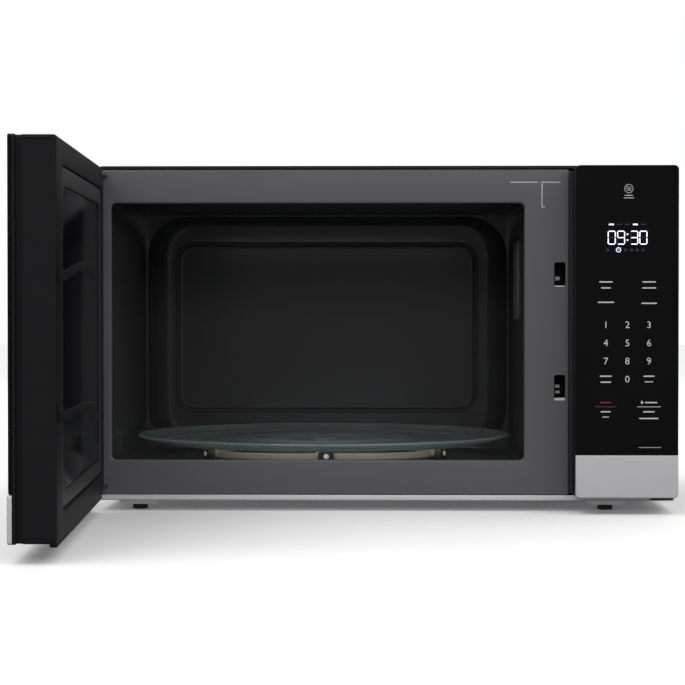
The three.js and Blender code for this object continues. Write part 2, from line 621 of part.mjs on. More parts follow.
function makeInterlock() {
  const wall = { x: [164, 167], y: [SHEET + GAP, 56], z: [92, 285] };
  const tab = { right: 176, back: 3.6, z: [[266, 285], [92, 108]] };
  const catches = { right: 190, y: [9, 20], height: 8, tops: [238, 119.4] };
  const board = joined(
    block(wall.x, wall.y, wall.z),
    ...tab.z.map((z) => block([wall.x[0], tab.right], [wall.y[0], tab.back], z)),
    ...catches.tops.map((top) => block([wall.x[0], catches.right], catches.y, [top - catches.height, top])),
  );
  piece(cabinet, 'latch_board', board, WHITE_PLASTIC);

  for (const { name, z, plunger } of SWITCHES) {
    const well = [plunger[0] - GAP, plunger[1] + GAP];
    const body = cut(
      block([wall.x[1] + GAP, SWITCH.right], [SWITCH.front, SWITCH.front + SWITCH.depth], z),
      block(SWITCH.wellX, [SWITCH.front - 1, SWITCH.front + SWITCH.wellDepth], well),
    );
    piece(cabinet, `${name}_switch`, body, BLACK_PLASTIC);
    const button = new THREE.Group();
    oven.add(button);
    const reach = [SWITCH.front - SWITCH.travelOut, SWITCH.front + SWITCH.travelOut];
    piece(button, `${name}_switch_plunger`, block(inset(SWITCH.wellX, GAP), reach, plunger), WHITE_PLASTIC);
  }
}

// ---- door, laid out closed: U from the hinge pin towards the free edge, V towards the cavity ----
const DOOR = { u: [-2.7, 495.3], z: [17.2, 362.4], glassFront: -37.8, glassBack: -34.8, lipBack: -31.8 };
const DOOR_INNER = 3;
const COVER = { u: [-2.7, 493.5], z: [17.5, 362.1], front: -26, wall: 2.2, corner: 3 };
const PAN_FACE = { u: [14, 446], z: [41.4, 339.4], radius: 16 };
const WINDOW = { u: [30, 428], z: [57, 322], radius: 20 };
const HOOK_U = [481.5, 486.5];
const HOOK_DROP = 118.7;

const doorGroup = new THREE.Group();
doorGroup.position.set(DOOR_PIN[0], DOOR_PIN[1], 0);
doorGroup.rotation.z = -THREE.MathUtils.degToRad(DOOR_OPEN_DEG);
oven.add(doorGroup);

function makeDoorFront() {
  const corner = 3;
  const trim = { top: DOOR.z[0] + 42.1, proud: 1.2 };
  const trimFront = DOOR.glassFront - trim.proud;
  const cutter = { u: inset(DOOR.u, -5), v: [trimFront - 1, DOOR.glassBack + 1] };
  const facing = roundedBlock('y', DOOR.u, DOOR.z, [DOOR.glassFront, DOOR.glassBack], corner);
  const below = block(cutter.u, cutter.v, [0, trim.top + GAP]);
  piece(doorGroup, 'door_glass', cut(facing, below), BLACK_GLASS);

  const proud = roundedBlock('y', DOOR.u, DOOR.z, [trimFront, DOOR.glassBack], corner);
  const above = block(cutter.u, cutter.v, [trim.top, DOOR.z[1] + 1]);
  piece(doorGroup, 'door_lower_trim', cut(proud, above), SILVER_TRIM);

  const neck = { u: [1.5, 490.5], z: [20.5, 359.1], wall: 3 };
  const windowLap = 3;
  const through = [DOOR.glassFront, 0];
  const frame = joined(
    cut(
      roundedBlock('y', DOOR.u, DOOR.z, [DOOR.glassBack + GAP, DOOR.lipBack], corner),
      roundedBlock('y', inset(WINDOW.u, windowLap), inset(WINDOW.z, windowLap), through, WINDOW.radius),
    ),
    cut(
      roundedBlock('y', neck.u, neck.z, [DOOR.lipBack - 1, COVER.front - GAP], 2, 2),
      roundedBlock('y', inset(neck.u, neck.wall), inset(neck.z, neck.wall), through, 1, 2),
    ),
  );
  piece(doorGroup, 'door_frame', frame, BLACK_PLASTIC);
}

// Hat-shaped steel pan: its raised face is the band around the window, its brim the structure.
function makeDoorPan() {
  const { u, z, radius } = PAN_FACE;
  const face = { u: inset(u, GAP), z: inset(z, GAP), radius: radius - GAP, v: 2 };
  const brim = { u: [1.5, 477], z: [26, 354.2], v: [COVER.front + 0.5, COVER.front + 1.5] };
  const hollow = [brim.v[0] - 1, face.v - SHEET];
  const pan = cut(
    joined(
      roundedBlock('y', face.u, face.z, [brim.v[0], face.v], face.radius),
      block(brim.u, brim.v, brim.z),
    ),
    roundedBlock('y', inset(face.u, SHEET), inset(face.z, SHEET), hollow, face.radius - SHEET),
    roundedBlock('y', WINDOW.u, WINDOW.z, [face.v - 5, face.v + 1], WINDOW.radius, 3),
  );
  piece(doorGroup, 'door_inner_pan', pan, STEEL);

  const lap = 8;
  const film = { u: inset(WINDOW.u, -lap), z: inset(WINDOW.z, -lap), radius: WINDOW.radius + lap / 2 };
  const filmBack = face.v - SHEET - GAP;
  const filmSpan = [filmBack - 1.5, filmBack];
  const sheet = roundedBlock('y', film.u, film.z, filmSpan, film.radius);
  piece(doorGroup, 'door_inner_window', sheet, BLACK_GLASS);
  const screenBack = filmSpan[0] - GAP;
  const screenSpan = [screenBack - 0.8, screenBack];
  piece(doorGroup, 'door_screen', roundedBlock('y', film.u, film.z, screenSpan, film.radius), STEEL);
}

// Plastic box that covers the choke channel around the pan, with slots for the hooks, bosses for the
// hinge pins, notches for the hinge brackets and a groove across the free edge near either end.
function makeChokeCover() {
  const { u, z, front, wall, corner } = COVER;
  const [upper, lower] = BRACKET.bottoms;
  const notch = { radius: 8.6, top: upper - GAP, bottom: lower + BRACKET.thickness + GAP };
  const boss = { u: [u[0] + 1, 6], v: [-6, DOOR_INNER - 1], height: 15 };
  const springSeat = { u: [479, u[1] - 1], v: [-14, -4], z: [293, 295] };
  const lip = { u: [10, 485], v: [-4, 2], z: [13.8, z[0] + 1] };
  const groove = { u: [u[1] - 1.2, u[1] + 1], v: [front - 1, DOOR_INNER - 4] };
  const grooveSpans = [[356.4, 359], [20.8, 22.6]];
  const slot = { u: inset(HOOK_U, -0.6), v: [-1, DOOR_INNER + 1], z: [238.3, 252.7] };
  const shell = cut(
    roundedBlock('y', u, z, [front, DOOR_INNER], corner),
    block(inset(u, wall), [front - 1, DOOR_INNER - wall], inset(z, wall)),
  );
  const cover = cut(
    joined(
      shell,
      block(boss.u, boss.v, [notch.top - boss.height, notch.top]),
      block(boss.u, boss.v, [notch.bottom, notch.bottom + boss.height]),
      block(springSeat.u, springSeat.v, springSeat.z),
      block(lip.u, lip.v, lip.z),
    ),
    roundedBlock('y', PAN_FACE.u, PAN_FACE.z, [front, DOOR_INNER + 1], PAN_FACE.radius),
    rod('z', 2 + GAP, [0, z[1] + 1], [0, 0], 16),
    rod('z', notch.radius, [notch.top, z[1] + 1], [0, 0], 24),
    rod('z', notch.radius, [0, notch.bottom], [0, 0], 24),
    ...grooveSpans.map((span) => block(groove.u, groove.v, span)),
    ...[0, HOOK_DROP].map((drop) => block(slot.u, slot.v, slot.z.map((at) => at - drop))),
  );
  piece(doorGroup, 'door_choke_cover', cover, BLACK_PLASTIC);
}

// One lever carries both hooks; it slides up against a coil spring as the hooks ride over the catches.
const LEVER = { v: [-14, -6], z: [112, 270] };

function makeLatch() {
  const hookOutline = (drop) => [
    [-7, 239], [9, 239], [20, 247.5], [28.5, 247.5], [31, 239], [34.5, 239], [36, 243],
    [36, 252], [34, 255.5], [23, 255.5], [9, 248], [-7, 248],
  ].map(([v, z]) => [v, z - drop]);
  const lever = joined(
    block(HOOK_U, LEVER.v, LEVER.z),
    ...[0, HOOK_DROP].map((drop) => pulled(polygon(hookOutline(drop)), 'x', HOOK_U)),
  );
  piece(doorGroup, 'latch_lever', lever, BLACK_PLASTIC);

  const coil = { radius: 3.2, wire: 0.6, turns: 5, from: LEVER.z[1] + GAP + 0.6, to: 292, stepsPerTurn: 8 };
  const middle = [(HOOK_U[0] + HOOK_U[1]) / 2, (LEVER.v[0] + LEVER.v[1]) / 2];
  class Helix extends THREE.Curve {
    getPoint(t) {
      const angle = t * coil.turns * 2 * Math.PI;
      const z = coil.from + (coil.to - coil.from) * t;
      const x = middle[0] + coil.radius * Math.cos(angle);
      const y = middle[1] + coil.radius * Math.sin(angle);
      return new THREE.Vector3(x, y, z);
    }
  }
  const wire = new THREE.Shape().absarc(0, 0, coil.wire, 0, 2 * Math.PI);
  const steps = {
    steps: coil.turns * coil.stepsPerTurn,
    curveSegments: 3,
    bevelEnabled: false,
    extrudePath: new Helix(),
  };
  piece(doorGroup, 'latch_spring', solid(new THREE.ExtrudeGeometry(wire, steps)), ALUMINIUM);
}

// ---- turntable: motor, coupler, roller ring with six rollers, and the glass tray ----
const ROLLER = { radius: 8.85, width: 8, cornerAt: 150, sideAt: 124, bore: 2.6 };
const ROLLER_CENTRE_Z = CAVITY_FLOOR + GAP + ROLLER.radius;
const TRAY_UNDERSIDE = ROLLER_CENTRE_Z + ROLLER.radius + GAP;
const RING = { mean: 124, wave: 12, width: 7, z: [46.5, 53.8], firstSideDeg: -87 };
const AXLE = { hub: 5.5, beyond: 1.5 };

const SHAFT = { radius: 3.5, top: 51 };

function makeTurntableDrive(parent) {
  const [x, y] = TRAY_CENTRE;
  const motorTop = CAVITY_FLOOR - SHEET - GAP;
  const can = { radius: 24.5, z: [15, motorTop - 4] };
  const ears = { x: [x - 34, x + 34], y: [y - 8, y + 8], z: [motorTop - 5, motorTop] };
  const motor = joined(
    rod('z', can.radius, can.z, TRAY_CENTRE, 24),
    block(ears.x, ears.y, ears.z),
    rod('z', SHAFT.radius, [can.z[1] - 6, SHAFT.top], TRAY_CENTRE, 12),
  );
  piece(cabinet, 'turntable_motor', motor, ZINC);

  const top = TRAY_UNDERSIDE - GAP;
  const skirt = { radius: 14, bottom: CAVITY_FLOOR + 1, height: 2 };
  const lobe = { count: 3, length: 16, width: 7, firstDeg: 30 };
  const hub = 8;
  const lobes = [];
  for (let i = 0; i < lobe.count; i += 1) {
    const bar = new THREE.BoxGeometry(lobe.length, lobe.width, lobe.width);
    bar.translate(lobe.length / 2, 0, 0);
    bar.rotateZ(THREE.MathUtils.degToRad(lobe.firstDeg + (360 * i) / lobe.count));
    bar.translate(x, y, top - lobe.width / 2);
    lobes.push(solid(bar));
  }
  const skirtTop = skirt.bottom + skirt.height;
  const body = turned(
    [
      [0, skirt.bottom], [skirt.radius, skirt.bottom], [skirt.radius, skirtTop],
      [hub, skirtTop + 2], [hub, top], [0, top],
    ],
    TRAY_CENTRE,
    20,
  );
  const bore = rod('z', SHAFT.radius + GAP, [skirt.bottom - 1, SHAFT.top + 1], TRAY_CENTRE, 12);
  piece(parent, 'turntable_coupler', cut(joined(body, ...lobes), bore), WHITE_PLASTIC);
}

function makeTray(parent) {
  const base = TRAY_UNDERSIDE;
  const profile = [
    [0, base], [186, base], [208, base + 5.6], [213, base + 8.2],
    [211.6, base + 9.9], [206, base + 8.6], [184, base + 4], [0, base + 4],
  ];
  piece(parent, 'glass_tray', turned(profile, TRAY_CENTRE, 48), CLEAR_GLASS);
}

function ringRadius(angle) {
  return RING.mean - RING.wave * Math.cos(3 * (angle - THREE.MathUtils.degToRad(RING.firstSideDeg)));
}

function ringOutline(offset, steps) {
  const points = [];
  for (let i = 0; i < steps; i += 1) {
    const angle = (i / steps) * 2 * Math.PI;
    const radius = ringRadius(angle) + offset;
    points.push([TRAY_CENTRE[0] + radius * Math.cos(angle), TRAY_CENTRE[1] + radius * Math.sin(angle)]);
  }
  return polygon(points);
}

function radialBar(angle, radius, [from, to], z, sides) {
  const bar = new THREE.CylinderGeometry(radius, radius, to - from, sides);
  bar.rotateZ(Math.PI / 2);
  bar.translate((from + to) / 2, 0, 0);
  bar.rotateZ(angle);
  bar.translate(TRAY_CENTRE[0], TRAY_CENTRE[1], z);
  return solid(bar);
}

function rollerPlaces() {
  return [0, 1, 2, 3, 4, 5].map((i) => ({
    angle: THREE.MathUtils.degToRad(RING.firstSideDeg + 60 * i),
    at: i % 2 === 0 ? ROLLER.sideAt : ROLLER.cornerAt,
  }));
}

function makeRollerRing(parent) {
  const steps = 48;
  let ring = cut(
    pulled(ringOutline(RING.width / 2, steps), 'z', RING.z),
    pulled(ringOutline(-RING.width / 2, steps), 'z', [RING.z[0] - 1, RING.z[1] + 1]),
  );
  for (const { angle, at } of rollerPlaces()) {
    const inner = at - ROLLER.width / 2;
    const outer = at + ROLLER.width / 2;
    ring = joined(
      ring,
      radialBar(angle, ROLLER.bore - GAP, [ringRadius(angle), outer + AXLE.beyond], ROLLER_CENTRE_Z, 8),
      radialBar(angle, AXLE.hub, [ringRadius(angle), inner - GAP], ROLLER_CENTRE_Z, 8),
    );
  }
  piece(parent, 'roller_ring', ring, RING_PLASTIC);
}

function makeRollers() {
  rollerPlaces().forEach(({ angle, at }, i) => {
    const span = [at - ROLLER.width / 2, at + ROLLER.width / 2];
    const wheel = cut(
      radialBar(angle, ROLLER.radius, span, ROLLER_CENTRE_Z, 18),
      radialBar(angle, ROLLER.bore, [span[0] - 1, span[1] + 1], ROLLER_CENTRE_Z, 8),
    );
    const spinning = new THREE.Group();
    oven.add(spinning);
    piece(spinning, `ring_roller_${i + 1}`, wheel, BLACK_PLASTIC);
  });
}

// ---- assembly ----
makeOuterCasing();
makeRearPanel();
makeCordGland();
makeBasePan();
makeFeet();
makeFrontFrame();
makeHinges();
makeCavityLiner();
makeWaveguideCover();
makeWaveguide();
makeMagnetron();
makeInverter();
makeSmallElectrics();
makeControlPanel();
makeInterlock();
makeDoorFront();
makeDoorPan();
makeChokeCover();
makeLatch();

const fan = new THREE.Group();
const turntable = new THREE.Group();
const rollerRing = new THREE.Group();
oven.add(fan, turntable, rollerRing);
makeFan(fan);
makeTurntableDrive(turntable);
makeTray(turntable);
makeRollerRing(rollerRing);
makeRollers();

const bounds = new THREE.Box3().setFromObject(oven);
const middle = bounds.getCenter(new THREE.Vector3());
oven.position.set(-middle.x, -middle.y, -bounds.min.z);

export default oven;
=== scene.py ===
"""Countertop microwave oven: finer pieces and materials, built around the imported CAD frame.

Pieces are laid out in millimetres, in one of two local frames, and brought into the row frame by a
matrix. OVEN: X from the middle of the body, Y from the front face of the cavity frame to the back,
Z up from the floor. DOOR: the closed door seen from its hinge pin, X towards the free edge, Y
towards the cavity, Z as before; the matrix turns it to the open position that is the rest pose.
"""
import json
import math

import bmesh
import bpy
from mathutils import Matrix, Vector


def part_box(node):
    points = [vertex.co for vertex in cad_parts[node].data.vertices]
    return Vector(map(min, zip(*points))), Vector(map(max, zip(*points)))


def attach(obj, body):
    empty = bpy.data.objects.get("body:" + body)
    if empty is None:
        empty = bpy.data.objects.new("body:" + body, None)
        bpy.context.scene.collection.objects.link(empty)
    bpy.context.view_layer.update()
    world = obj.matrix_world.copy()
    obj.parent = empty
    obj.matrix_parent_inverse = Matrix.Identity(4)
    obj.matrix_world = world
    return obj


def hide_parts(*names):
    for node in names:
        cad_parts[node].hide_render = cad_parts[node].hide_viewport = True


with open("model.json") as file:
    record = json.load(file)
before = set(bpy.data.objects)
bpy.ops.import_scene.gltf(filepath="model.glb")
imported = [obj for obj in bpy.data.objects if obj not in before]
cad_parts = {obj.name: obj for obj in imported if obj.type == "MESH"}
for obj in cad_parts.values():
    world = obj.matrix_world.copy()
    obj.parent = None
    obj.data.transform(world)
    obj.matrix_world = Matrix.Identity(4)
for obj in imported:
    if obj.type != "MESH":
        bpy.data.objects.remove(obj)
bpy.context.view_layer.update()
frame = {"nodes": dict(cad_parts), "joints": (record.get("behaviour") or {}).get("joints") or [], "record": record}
NODES = frame["nodes"]
JOINTS = {joint["name"]: joint for joint in frame["joints"]}

# ---- the two local frames, in mm, placed by the CAD frame ----
MM = 0.001
HALF_WIDTH = 303.5
FRAME_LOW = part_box("front_frame")[0]
OVEN = Matrix.Translation((FRAME_LOW.x + HALF_WIDTH * MM, FRAME_LOW.y, 0)) @ Matrix.Scale(MM, 4)
HINGE = JOINTS["door_hinge"]
PIN_X, PIN_Y, _ = HINGE["pos_m"]
DOOR = (
    Matrix.Translation((PIN_X, PIN_Y, 0))
    @ Matrix.Rotation(-math.radians(HINGE["range_deg"][1]), 4, "Z")
    @ Matrix.Scale(MM, 4)
)


def oven_box(node):
    """A node's box in the OVEN frame, as ((x0, x1), (y0, y1), (z0, z1)) in mm."""
    low, high = (OVEN.inverted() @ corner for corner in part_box(node))
    return tuple(zip(low, high))


# ---- materials ----
def colour_mix(tree, factor, first, second):
    """Two colours mixed; each is given as a colour or as the socket that it comes from."""
    mix = tree.nodes.new("ShaderNodeMix")
    mix.data_type = "RGBA"
    for name, value in (("A", first), ("B", second)):
        if isinstance(value, bpy.types.NodeSocket):
            tree.links.new(value, mix.inputs[name])
        else:
            mix.inputs[name].default_value = (*value, 1)
    tree.links.new(factor, mix.inputs["Factor"])
    return mix.outputs["Result"]


def ranged(tree, value, **ends):
    """A value mapped to another range; ends are the node's inputs, such as From_Min."""
    mapped = tree.nodes.new("ShaderNodeMapRange")
    for name, number in ends.items():
        mapped.inputs[name.replace("_", " ")].default_value = number
    tree.links.new(value, mapped.inputs["Value"])
    return mapped.outputs["Result"]


def material(
    name, color, roughness, metallic=0.0, grain=900.0, bump=0.05, mottle=0.06, wander=0.02, **sockets
):
    """A Principled material whose colour and roughness wander a little, with a fine bump."""
    made = bpy.data.materials.new(name)
    made.use_nodes = True
    tree = made.node_tree
    shader = tree.nodes["Principled BSDF"]
    shader.inputs["Metallic"].default_value = metallic
    for socket, value in sockets.items():
        shader.inputs[socket.replace("_", " ")].default_value = value
    place = tree.nodes.new("ShaderNodeTexCoord")
    place.name = "place"
    noises = {}
    for kind, scale, detail in (("broad", 14.0, 4.0), ("fine", grain, 2.0)):
        noises[kind] = tree.nodes.new("ShaderNodeTexNoise")
        noises[kind].name = kind
        noises[kind].inputs["Scale"].default_value = scale
        noises[kind].inputs["Detail"].default_value = detail
        tree.links.new(place.outputs["Object"], noises[kind].inputs["Vector"])
    broad = noises["broad"].outputs["Fac"]
    darker = [channel * (1 - mottle) for channel in color]
    lighter = [min(1, channel * (1 + mottle)) for channel in color]
    tree.links.new(colour_mix(tree, broad, darker, lighter), shader.inputs["Base Color"])
    gloss = ranged(tree, broad, To_Min=max(0.02, roughness - wander), To_Max=roughness + wander)
    tree.links.new(gloss, shader.inputs["Roughness"])
    relief = tree.nodes.new("ShaderNodeBump")
    relief.inputs["Strength"].default_value = bump
    relief.inputs["Distance"].default_value = 0.0004
    tree.links.new(noises["fine"].outputs["Fac"], relief.inputs["Height"])
    tree.links.new(relief.outputs["Normal"], shader.inputs["Normal"])
    return made


def with_specks(made, color, scale, threshold):
    """Adds small specks of another colour, as in enamel or galvanising."""
    tree = made.node_tree
    base = tree.nodes["Principled BSDF"].inputs["Base Color"]
    cells = tree.nodes.new("ShaderNodeTexVoronoi")
    cells.inputs["Scale"].default_value = scale
    tree.links.new(tree.nodes["place"].outputs["Object"], cells.inputs["Vector"])
    mask = ranged(tree, cells.outputs["Distance"], From_Min=threshold, From_Max=threshold * 0.6)
    tree.links.new(colour_mix(tree, mask, base.links[0].from_socket, color), base)
    return made


def brushed(name, color, roughness, stretch, metallic=1.0, **sockets):
    """Metal with fine lines along one axis: stretch is the noise scale along X, Y and Z."""
    made = material(name, color, roughness, metallic, **sockets)
    nodes, links = made.node_tree.nodes, made.node_tree.links
    mapping = nodes.new("ShaderNodeMapping")
    mapping.inputs["Scale"].default_value = stretch
    links.new(nodes["place"].outputs["Object"], mapping.inputs["Vector"])
    links.new(mapping.outputs["Vector"], nodes["fine"].inputs["Vector"])
    return made


def glowing(name, color, strength):
    made = material(name, color, 0.4)
    shader = made.node_tree.nodes["Principled BSDF"]
    shader.inputs["Emission Color"].default_value = (*color, 1)
    shader.inputs["Emission Strength"].default_value = strength
    return made


def perforated(name, metal, pitch, hole):
    """Painted sheet with rows of round holes, drawn in the plane of the open door; the holes are near-black
    painted shade.
    """
    made = material(name, metal, 0.45, 0.3)
    tree = made.node_tree
    nodes, links = tree.nodes, tree.links
    base = nodes["Principled BSDF"].inputs["Base Color"]
    split = nodes.new("ShaderNodeSeparateXYZ")
    links.new(nodes["place"].outputs["Object"], split.inputs["Vector"])
    offset = nodes.new("ShaderNodeCombineXYZ")
    for axis, to_axis in zip("YZ", "XY"):
        step = nodes.new("ShaderNodeMath")
        step.operation = "PINGPONG"
        step.inputs[1].default_value = pitch * MM / 2
        links.new(split.outputs[axis], step.inputs[0])
        links.new(step.outputs[0], offset.inputs[to_axis])
    length = nodes.new("ShaderNodeVectorMath")
    length.operation = "LENGTH"
    links.new(offset.outputs[0], length.inputs[0])
    rim = hole * MM / 2
    mask = ranged(tree, length.outputs["Value"], From_Min=rim, From_Max=rim * 1.15)
    # painted shade: the holes are drawn near-black
    hole_shade = (0.001, 0.001, 0.001)
    links.new(colour_mix(tree, mask, hole_shade, base.links[0].from_socket), base)
    return made


GREY = (0.104, 0.104, 0.110)
MATERIALS = {
    "casing_paint": material("casing_paint", (0.010, 0.010, 0.011), 0.42, grain=1600, bump=0.22),
    "frame_paint": material("frame_paint", GREY, 0.34, 0.2, grain=1300, bump=0.05, mottle=0.03),
    # painted shade: a darker copy of the frame paint, used where grey-painted parts are drawn as if in shade
    "shaded_frame_paint": material(
        "shaded_frame_paint", (0.030, 0.030, 0.032), 0.36, 0.2, grain=1300, bump=0.05, mottle=0.03,
    ),
    "hinge_steel": material("hinge_steel", (0.055, 0.055, 0.058), 0.34, 0.4, grain=1300, bump=0.06),
    "cavity_enamel": with_specks(
        material("cavity_enamel", (0.042, 0.042, 0.044), 0.20, 0.2, grain=1000, bump=0.03, mottle=0.02),
        (0.052, 0.052, 0.055), 900, 0.14,
    ),
    "galvanised": with_specks(
        material("galvanised", (0.64, 0.64, 0.66), 0.34, 0.3, grain=300, bump=0.05),
        (0.62, 0.62, 0.64), 160, 0.35,
    ),
    "pin_steel": brushed("pin_steel", (0.55, 0.55, 0.57), 0.28, (1, 1, 0.05), grain=900),
    "foot_rubber": material("foot_rubber", (0.012, 0.012, 0.012), 0.75, grain=700, bump=0.2),
    "black_plastic": material(
        "black_plastic", (0.008, 0.008, 0.009), 0.42, grain=2000, bump=0.16, Specular_IOR_Level=0.2,
    ),
    "roller_plastic": material("roller_plastic", (0.035, 0.029, 0.024), 0.5, grain=1200, bump=0.1),
    "white_plastic": material("white_plastic", (0.75, 0.73, 0.69), 0.5, grain=900, bump=0.06),
    "ring_plastic": material("ring_plastic", (0.27, 0.245, 0.205), 0.40, grain=900, bump=0.08),
    "front_glass": material(
        "front_glass", (0.0045, 0.0045, 0.005), 0.07, grain=900, bump=0.002, wander=0.01,
        Specular_IOR_Level=0.09,
    ),
    "window_film": material(
        "window_film", (0.003, 0.003, 0.004), 0.16, grain=60, bump=0.008, wander=0.01,
        Specular_IOR_Level=0.05,
    ),
    "silver_trim": brushed("silver_trim", (0.50, 0.50, 0.51), 0.34, (0.04, 1, 1), 0.25, grain=1500),
    "screen_steel": perforated("screen_steel", (0.04, 0.04, 0.042), 2.0, 1.3),
    "tray_glass": material(
        "tray_glass", (0.66, 0.80, 0.77), 0.04, grain=30, bump=0.004, mottle=0.02,
        Transmission_Weight=0.88, IOR=1.5,
    ),
    "lamp_glass": material("lamp_glass", (0.95, 0.93, 0.88), 0.1, Transmission_Weight=0.8),
    "mica": with_specks(
        material("mica", (0.16, 0.15, 0.13), 0.5, grain=500, bump=0.1), (0.26, 0.24, 0.2), 500, 0.2,
    ),
    "aluminium": brushed("aluminium", (0.72, 0.73, 0.74), 0.32, (1, 0.05, 1), grain=800),
    "circuit_board": with_specks(
        material("circuit_board", (0.03, 0.10, 0.045), 0.4, grain=400, bump=0.1),
        (0.35, 0.3, 0.12), 260, 0.14,
    ),
    "copper_winding": brushed("copper_winding", (0.50, 0.24, 0.10), 0.35, (0.05, 1, 1), grain=1500),
}
PRINT_WHITE = material("print_white", (0.46, 0.46, 0.47), 0.5, grain=900, bump=0.02)
PRINT_RED = material("print_red", (0.22, 0.012, 0.03), 0.5, grain=900, bump=0.02)
PRINT_GREY = material("print_grey", (0.25, 0.25, 0.26), 0.5, grain=900, bump=0.02)
SEGMENT_ON = glowing("segment_on", (0.80, 0.84, 1.0), 0.85)
SEGMENT_OFF = material("segment_off", (0.020, 0.024, 0.030), 0.3, grain=900, bump=0.02)
SHADOW_BLACK = material("shadow_black", (0.004, 0.004, 0.004), 0.8, grain=900, bump=0.05)


# ---- mesh helpers; every length is in mm ----
def rounded_rectangle(a, b, radius, steps=6):
    """Points round a rounded rectangle, anticlockwise, with the same count at every corner."""
    points = []
    corners = ((a[1], b[0], -90), (a[1], b[1], 0), (a[0], b[1], 90), (a[0], b[0], 180))
    for corner_a, corner_b, start in corners:
        centre_a = corner_a - radius if corner_a == a[1] else corner_a + radius
        centre_b = corner_b - radius if corner_b == b[1] else corner_b + radius
        for i in range(steps + 1):
            angle = math.radians(start + 90 * i / steps)
            points.append((centre_a + radius * math.cos(angle), centre_b + radius * math.sin(angle)))
    return points


def inset(span, by):
    return (span[0] + by, span[1] - by)


def facing(points, y):
    """A flat outline in X and Z, stood up at Y."""
    return [Vector((a, y, b)) for a, b in points]


def level(points, z):
    """A flat outline in X and Y, laid down at Z."""
    return [Vector((a, b, z)) for a, b in points]


def loft(loops, first_cap=False, last_cap=False, closed=False):
    """A skin of quads through loops that all have the same number of points."""
    bm = bmesh.new()
    rings = [[bm.verts.new(point) for point in loop] for loop in loops]
    pairs = list(zip(rings, rings[1:]))
    if closed:
        pairs.append((rings[-1], rings[0]))
    for lower, upper in pairs:
        for i in range(len(lower)):
            j = (i + 1) % len(lower)
            bm.faces.new((lower[i], lower[j], upper[j], upper[i]))
    if first_cap:
        bm.faces.new(list(reversed(rings[0])))
    if last_cap:
        bm.faces.new(rings[-1])
    return bm


def prism(points, low, high, axis="y"):
    """A solid bar with that outline. For axis x the outline is in Y and Z."""
    if axis == "y":
        loops = [facing(points, low), facing(points, high)]
    elif axis == "z":
        loops = [level(points, low), level(points, high)]
    else:
        loops = [[Vector((x, a, b)) for a, b in points] for x in (low, high)]
    return loft(loops, first_cap=True, last_cap=True)


def revolve(profile, centre=(0, 0), steps=48, axis="z"):
    """A turned solid from (radius, height) points that start and end on the axis."""
    bm = bmesh.new()
    rings = []
    for radius, height in profile:
        count = 1 if radius == 0 else steps
        ring = []
        for i in range(count):
            angle = 2 * math.pi * i / steps
            across, along = radius * math.cos(angle), radius * math.sin(angle)
            if axis == "z":
                point = (centre[0] + across, centre[1] + along, height)
            else:
                point = (centre[0] + across, height, centre[1] + along)
            ring.append(bm.verts.new(point))
        rings.append(ring)
    for lower, upper in zip(rings, rings[1:]):
        for i in range(steps):
            j = (i + 1) % steps
            corners = [ring[k % len(ring)] for ring, k in ((lower, i), (lower, j), (upper, j), (upper, i))]
            bm.faces.new(list(dict.fromkeys(corners)))
    return bm


def soften(bm, width, segments=3, angle=30.0):
    """Rounds every edge that turns by more than angle degrees."""
    bmesh.ops.recalc_face_normals(bm, faces=bm.faces)
    sharp = [
        edge for edge in bm.edges
        if len(edge.link_faces) == 2 and edge.calc_face_angle(0) > math.radians(angle)
    ]
    bmesh.ops.bevel(
        bm, geom=sharp, offset=width, offset_type="OFFSET", segments=segments, profile=0.5,
        affect="EDGES", clamp_overlap=True,
    )
    return bm


def merged(*parts):
    """Several bmeshes as one."""
    whole = bmesh.new()
    for part in parts:
        scratch = bpy.data.meshes.new("scratch")
        part.to_mesh(scratch)
        part.free()
        whole.from_mesh(scratch)
        bpy.data.meshes.remove(scratch)
    return whole


def rolled(outlines, radius, towards, steps=5):
    """Loops that turn a corner: from the side wall outline to the same outline inset on the face.

    outlines(by) gives the outline inset by that much, and towards is (wall Y, face Y)."""
    loops = []
    for i in range(steps + 1):
        angle = math.pi / 2 * i / steps
        by = radius * (1 - math.cos(angle))
        y = towards[0] + (towards[1] - towards[0]) * math.sin(angle)
        loops.append(facing(outlines(by), y))
    return loops


def link(name, bm, slot, *stands_for, body="cabinet", look=None, smooth=35.0):
    """Makes the piece: mesh and material (the slot's, unless look is given), under its body; hides the CAD nodes
    that it stands for.
    """
    bm.transform(DOOR if body in ("door", "latch") else OVEN)
    bmesh.ops.recalc_face_normals(bm, faces=bm.faces)
    if bm.calc_volume(signed=True) < 0:
        bmesh.ops.reverse_faces(bm, faces=bm.faces)
    mesh = bpy.data.meshes.new(name)
    bm.to_mesh(mesh)
    bm.free()
    mesh.shade_smooth()
    mesh.set_sharp_from_angle(angle=math.radians(smooth))
    piece = bpy.data.objects.new(name, mesh)
    bpy.context.scene.collection.objects.link(piece)
    mesh.materials.append(look or MATERIALS[slot])
    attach(piece, body)
    if stands_for:
        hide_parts(*stands_for)
    return piece


def worked(bm, *steps):
    """The bmesh after a chain of modifiers, each given as (type, {setting: value})."""
    mesh = bpy.data.meshes.new("work")
    bmesh.ops.recalc_face_normals(bm, faces=bm.faces)
    bm.to_mesh(mesh)
    bm.free()
    holder = bpy.data.objects.new("work", mesh)
    bpy.context.scene.collection.objects.link(holder)
    for kind, settings in steps:
        modifier = holder.modifiers.new(kind.lower(), kind)
        for key, value in settings.items():
            setattr(modifier, key, value)
    evaluated = holder.evaluated_get(bpy.context.evaluated_depsgraph_get())
    result = bmesh.new()
    result.from_mesh(evaluated.to_mesh())
    evaluated.to_mesh_clear()
    bpy.data.objects.remove(holder)
    bpy.data.meshes.remove(mesh)
    return result


def thickened(bm, by, outwards=1.0):
    """A sheet given a thickness, on the side away from its normals."""
    return worked(bm, ("SOLIDIFY", {"thickness": by, "offset": -outwards, "use_even_offset": True}))


